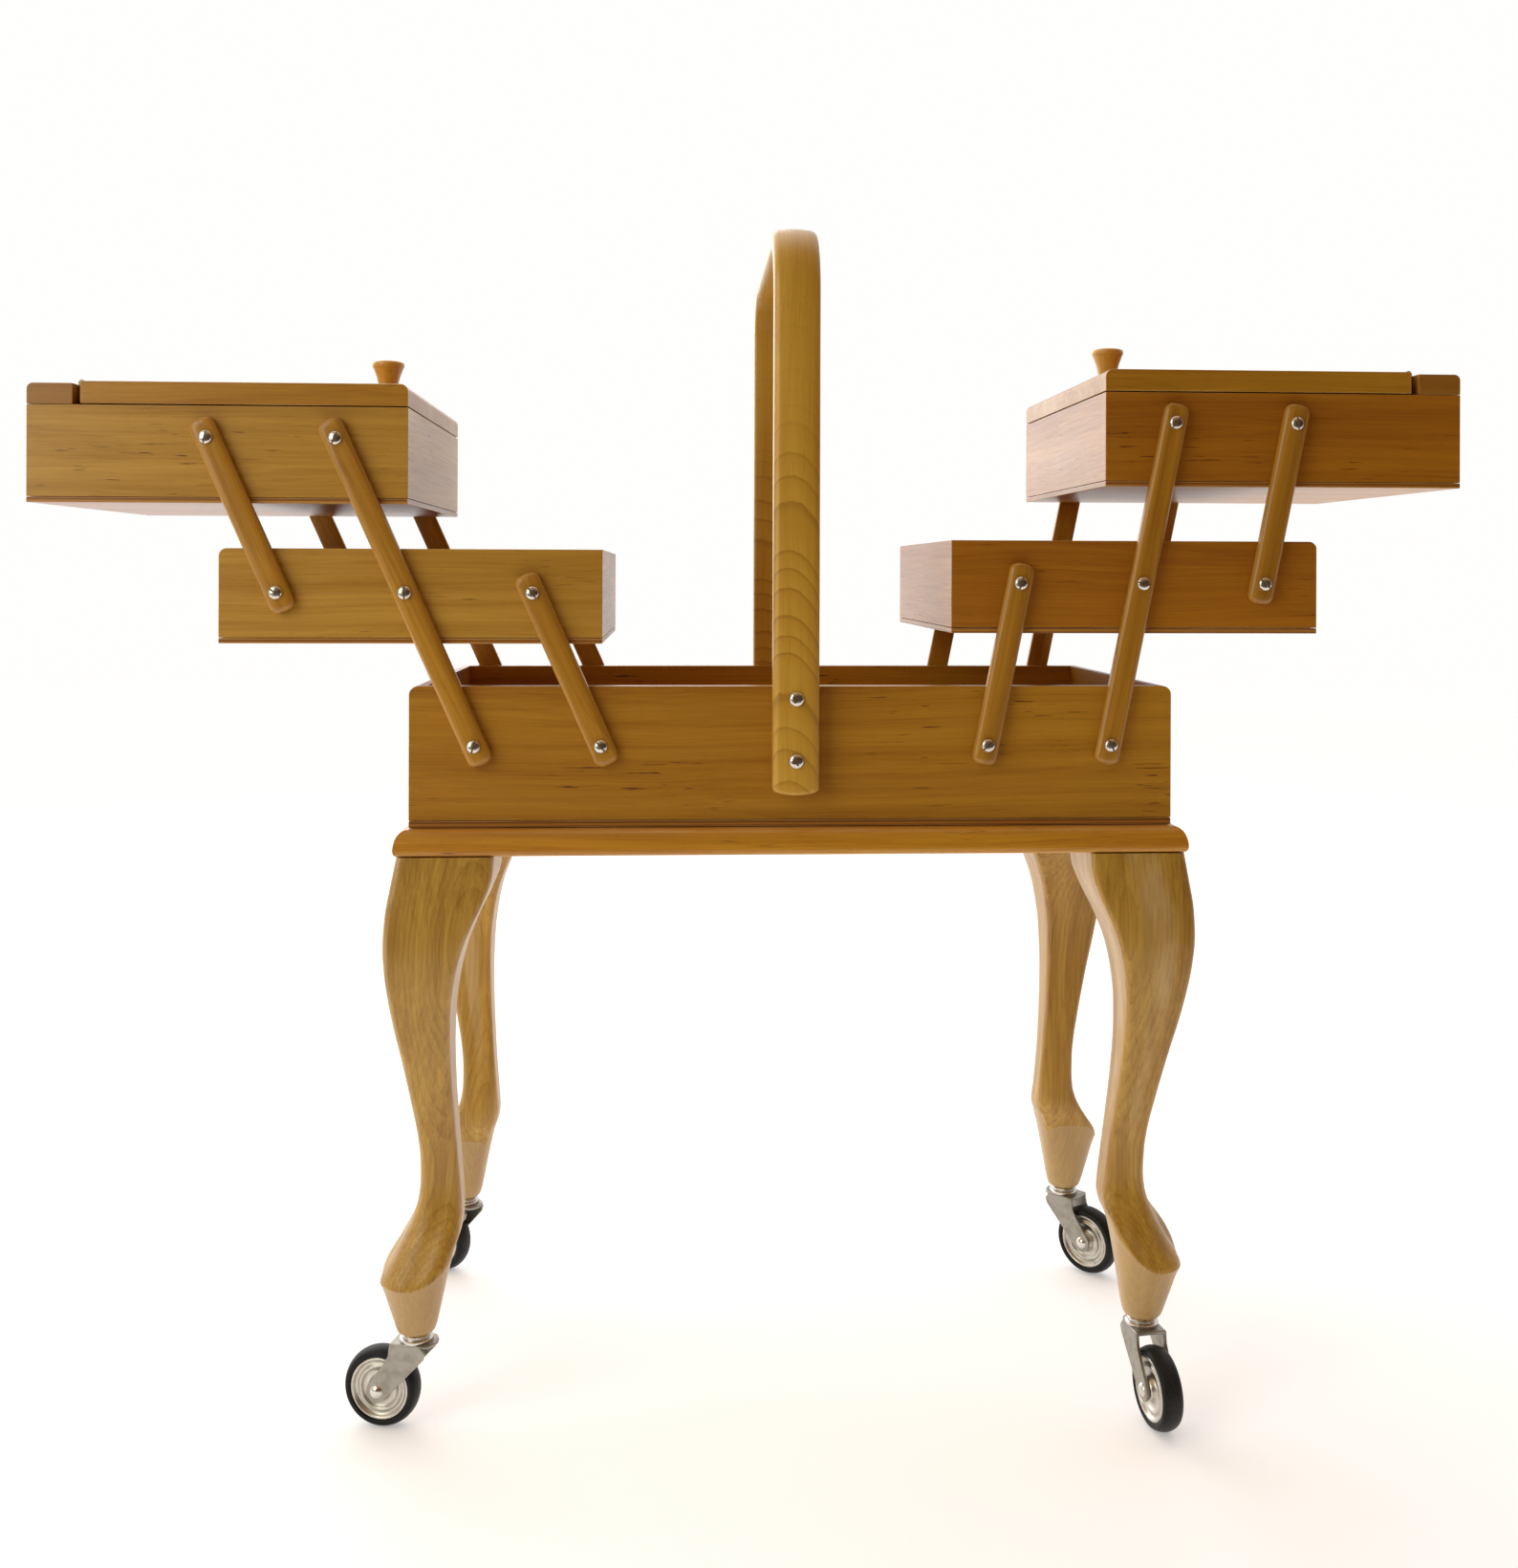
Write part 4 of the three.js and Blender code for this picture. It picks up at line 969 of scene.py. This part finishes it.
# ---------------------------------------------------------------- casters
def caster(tag):
    turn, roll = jpos(f"caster_{tag}_turn"), jpos(f"caster_{tag}_roll")
    d = roll[:2] - turn[:2]
    trail = math.hypot(*d)
    ang = math.atan2(d[1], d[0])
    top, wz = -266.3, roll[2]
    place = Matrix.Translation((turn[0], turn[1], 0)) @ Matrix.Rotation(ang, 4, "Z")
    inner, t = 7.4, 1.9
    sw, ro = f"caster_{tag}_swivel", f"caster_{tag}_roller"
    zp = top - 5.0  # top of the fork plate
    # top plate with a blunt nose ahead of the stem
    outline = [(trail * 0.62, -inner - t + 0.2), (trail * 0.62, inner + t - 0.2)] + [(-5.5, inner + t - 0.2), (-9.5, 7.2), (-12.0, 3.4), (-12.7, 0), (-12.0, -3.4), (-9.5, -7.2), (-5.5, -inner - t + 0.2)]
    plate = prism(outline, zp - 2.0, zp, "xy")
    bevel(plate, 0.7, 3)
    # side arms: broad under the plate, narrowing to a round eye at the axle
    eye = 6.1
    d0 = math.radians(52)
    arm = [(-6.0, zp - 0.5), (-8.6, zp - 4.2), (-7.6, zp - 7.6)]
    arm += [(trail - eye * 0.62, wz - eye * 0.80)]
    arm += arc(trail, wz, eye, 232, 395, 14)[1:]
    arm += [(trail * 0.80, zp - 12.0), (trail * 0.66, zp - 7.0), (trail * 0.62, zp - 0.5)]
    arms = []
    for k in (-1, 1):
        y0, y1 = sorted((k * inner, k * (inner + t)))
        a = prism(arm, y0, y1, "xz")
        bevel(a, 0.45, 2)
        arms.append(a)
    flange = []
    bm = join_bm(plate, *arms)
    bm.transform(place)
    finish(f"caster_{tag}_fork_plate", bm, sw, M["zinc"], (f"caster_{tag}_fork",), axes_grain(f"fork{tag}", (2, 0, 1)), weighted=True)
    race = lathe([(4.3, zp - 0.2), (8.9, zp - 0.2), (9.4, zp + 0.5), (9.4, zp + 1.5), (8.7, zp + 2.1), (7.6, zp + 2.3), (7.3, zp + 2.7), (8.3, zp + 3.1), (8.5, zp + 3.8), (7.9, zp + 4.5), (6.2, zp + 4.75), (4.3, zp + 4.75)], 44, closed=True)
    race.transform(place @ Matrix.Rotation(math.pi / 2, 4, "X"))
    finish(f"caster_{tag}_ball_race", race, sw, M["race"], (), axes_grain(f"race{tag}", (0, 1, 2)), edge=lambda co: np.zeros(len(co)), sharp=40)
    stem = lathe([(0, zp - 1.8), (3.9, zp - 1.8), (3.9, top + 27.2), (2.8, top + 28.8), (0, top + 29.3)], 28)
    stem.transform(place @ Matrix.Rotation(math.pi / 2, 4, "X"))
    finish(f"caster_{tag}_stem", stem, sw, M["nickel"], (), axes_grain(f"stem{tag}", (2, 1, 0)), edge=lambda co: np.zeros(len(co)), sharp=40)
    out = inner + t
    ax = [(0, -out - 1.75), (1.2, -out - 1.65), (2.5, -out - 1.2), (3.4, -out - 0.55), (3.75, -out - 0.05), (2.2, -out - 0.02), (2.2, out + 0.02), (3.75, out + 0.05), (3.4, out + 0.55), (2.5, out + 1.2), (1.2, out + 1.65), (0, out + 1.75)]
    axle = lathe(ax, 32)
    axle.transform(place @ Matrix.Translation((trail, 0, wz)))
    finish(f"caster_{tag}_axle_rivet", axle, sw, M["nickel"], (f"caster_{tag}_axle",), axes_grain(f"ax{tag}", (0, 1, 2)), edge=lambda co: np.zeros(len(co)), sharp=50)
    # wheel disc: hub, dished web, raised ring and rolled rim
    half = [(2.7, 6.9), (5.2, 6.9), (5.9, 6.5), (6.3, 5.4), (6.6, 4.0), (7.4, 3.3), (8.8, 3.0), (10.2, 3.3), (10.9, 4.1), (11.4, 4.6), (12.2, 4.7), (12.8, 4.3), (13.2, 3.6), (14.0, 3.4), (14.9, 3.8), (15.5, 4.9), (16.1, 5.6), (16.9, 5.5), (17.2, 5.0)]
    prof2 = [(a, -b) for a, b in half] + [(17.0, -4.6), (17.0, 4.6)] + [(a, b) for a, b in half[::-1]]
    wheel = lathe(prof2, 64, closed=True)
    wheel.transform(place @ Matrix.Translation((trail, 0, wz)))
    finish(f"caster_{tag}_wheel_disc", wheel, ro, M["wheel"], (f"caster_{tag}_wheel",), axes_grain(f"wh{tag}", (0, 1, 2)), edge=lambda co: np.zeros(len(co)), sharp=60)
    tp = [(17.25, 5.2), (17.7, 5.7), (18.3, 5.95), (19.2, 6.0), (20.0, 5.7), (20.6, 5.0), (21.1, 4.1), (21.55, 2.9), (21.88, 1.5), (22.0, 0.0)]
    prof3 = [(a, -b) for a, b in tp] + [(a, b) for a, b in tp[::-1][1:]]
    tyre = lathe(prof3, 96, closed=True)
    tyre.transform(place @ Matrix.Translation((trail, 0, wz)))
    c = np.array(place @ Vector((trail, 0, wz)))
    finish(f"caster_{tag}_tyre_ring", tyre, ro, M["rubber"], (f"caster_{tag}_tyre",), axes_grain(f"ty{tag}", (0, 1, 2)),
           edge=lambda co: np.clip((np.linalg.norm(co - c, axis=1) - 21.3) / 0.7, 0, 1), sharp=60)


for tag, sx, sy in (("fl", -1, -1), ("fr", 1, -1), ("rl", -1, 1), ("rr", 1, 1)):
    leg_piece(tag, sx, sy)
    caster(tag)

# ---------------------------------------------------------------- stage, light and camera
floor_z = min(nbox(f"caster_{t}_tyre")[0][2] for t in ("fl", "fr", "rl", "rr")) / 1000
bm = bmesh.new()
rim = [bm.verts.new((x, y, floor_z - 0.0002)) for x, y in ((-12, -0.75), (12, -0.75), (12, 14), (-12, 14))]
bm.faces.new(rim)
me = bpy.data.meshes.new("studio_floor")
bm.to_mesh(me)
bm.free()
fm, nt = tree("studio_floor")
pos = nd(nt, "ShaderNodeTexCoord").outputs["Object"]
dist = nd(nt, "ShaderNodeVectorMath", {0: pos}, operation="LENGTH").outputs["Value"]
speck = noise(nt, pos, (3.0, 3.0, 3.0), 3.0)
b = nd(nt, "ShaderNodeBsdfPrincipled", {"Base Color": mixc(nt, speck, rgb((0.90, 0.905, 0.93)), rgb((0.92, 0.925, 0.95))), "Roughness": 0.7, "Specular IOR Level": 0.2, "Emission Color": (1, 1, 1, 1), "Emission Strength": 0.30})
tr = nd(nt, "ShaderNodeBsdfTransparent")
mx = nd(nt, "ShaderNodeMixShader", {0: ramp(nt, dist, 1.6, 7.0), 1: b.outputs[0], 2: tr.outputs[0]})
nd(nt, "ShaderNodeOutputMaterial", {"Surface": mx.outputs[0]})
me.materials.append(fm)
floor = bpy.data.objects.new("studio_floor", me)
bpy.context.scene.collection.objects.link(floor)
floor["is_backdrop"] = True

world = bpy.data.worlds.new("studio")
bpy.context.scene.world = world
world.use_nodes = True
wt = world.node_tree
wt.nodes.clear()
dirn = nd(wt, "ShaderNodeTexCoord").outputs["Generated"]
sep = nd(wt, "ShaderNodeSeparateXYZ", {0: dirn})
back = ramp(wt, sep.outputs[1], -0.45, 0.45, 0.10, 1.15)
side = ramp(wt, sep.outputs[0], -0.9, 0.9, 1.28, 0.62)
above = ramp(wt, sep.outputs[2], 0.25, 0.95, 0.0, 0.40)
lit = mth(wt, "MULTIPLY_ADD", back, side, above)
is_cam = nd(wt, "ShaderNodeLightPath").outputs["Is Camera Ray"]
amount = nd(wt, "ShaderNodeMix", {0: is_cam, 2: lit, 3: 1.0}, data_type="FLOAT").outputs[0]
warm = mixc(wt, mth(wt, "MAXIMUM", ramp(wt, sep.outputs[1], -0.35, 0.25), is_cam), mixc(wt, ramp(wt, sep.outputs[0], -0.5, 0.5), rgb((1.0, 0.72, 0.42)), rgb((1.0, 0.50, 0.20))), rgb((1.0, 0.995, 0.985)))
bg = nd(wt, "ShaderNodeBackground", {"Color": warm, "Strength": amount})
nd(wt, "ShaderNodeOutputWorld", {"Surface": bg.outputs[0]})


def area(name, pos, aim, size, power, colour=(1, 1, 1)):
    l = bpy.data.lights.new(name, "AREA")
    l.shape, l.size, l.size_y, l.energy, l.color = "RECTANGLE", size[0], size[1], power, colour
    o = bpy.data.objects.new(name, l)
    o.location = pos
    o.rotation_euler = (Vector(aim) - Vector(pos)).to_track_quat("-Z", "Y").to_euler()
    bpy.context.scene.collection.objects.link(o)
    return o


area("window_left", (-1.15, -0.95, 0.55), (-0.15, 0, 0.0), (0.9, 1.2), 8.5, (0.97, 1.0, 0.90))
area("window_back", (-0.9, 1.7, 1.0), (0, 0, 0.0), (2.0, 1.6), 12, (1.0, 0.985, 0.96))

cam = bpy.data.cameras.new("camera")
cam.sensor_fit = "AUTO"
cam.sensor_width = 36.0
cam.lens = 36.0 * 1643.0 / 1640.0
cam.shift_x = 0.0
cam.shift_y = (600.0 - 820.0) / 1640.0
cam.clip_start, cam.clip_end = 0.01, 60
co = bpy.data.objects.new("camera", cam)
co.location = (-0.0687, -0.9821, 0.1564)
co.rotation_euler = (math.radians(90), math.radians(-0.2), math.radians(-3.13))
bpy.context.scene.collection.objects.link(co)
bpy.context.scene.camera = co
bpy.context.scene.view_settings.view_transform = "Standard"

lo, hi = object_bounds()
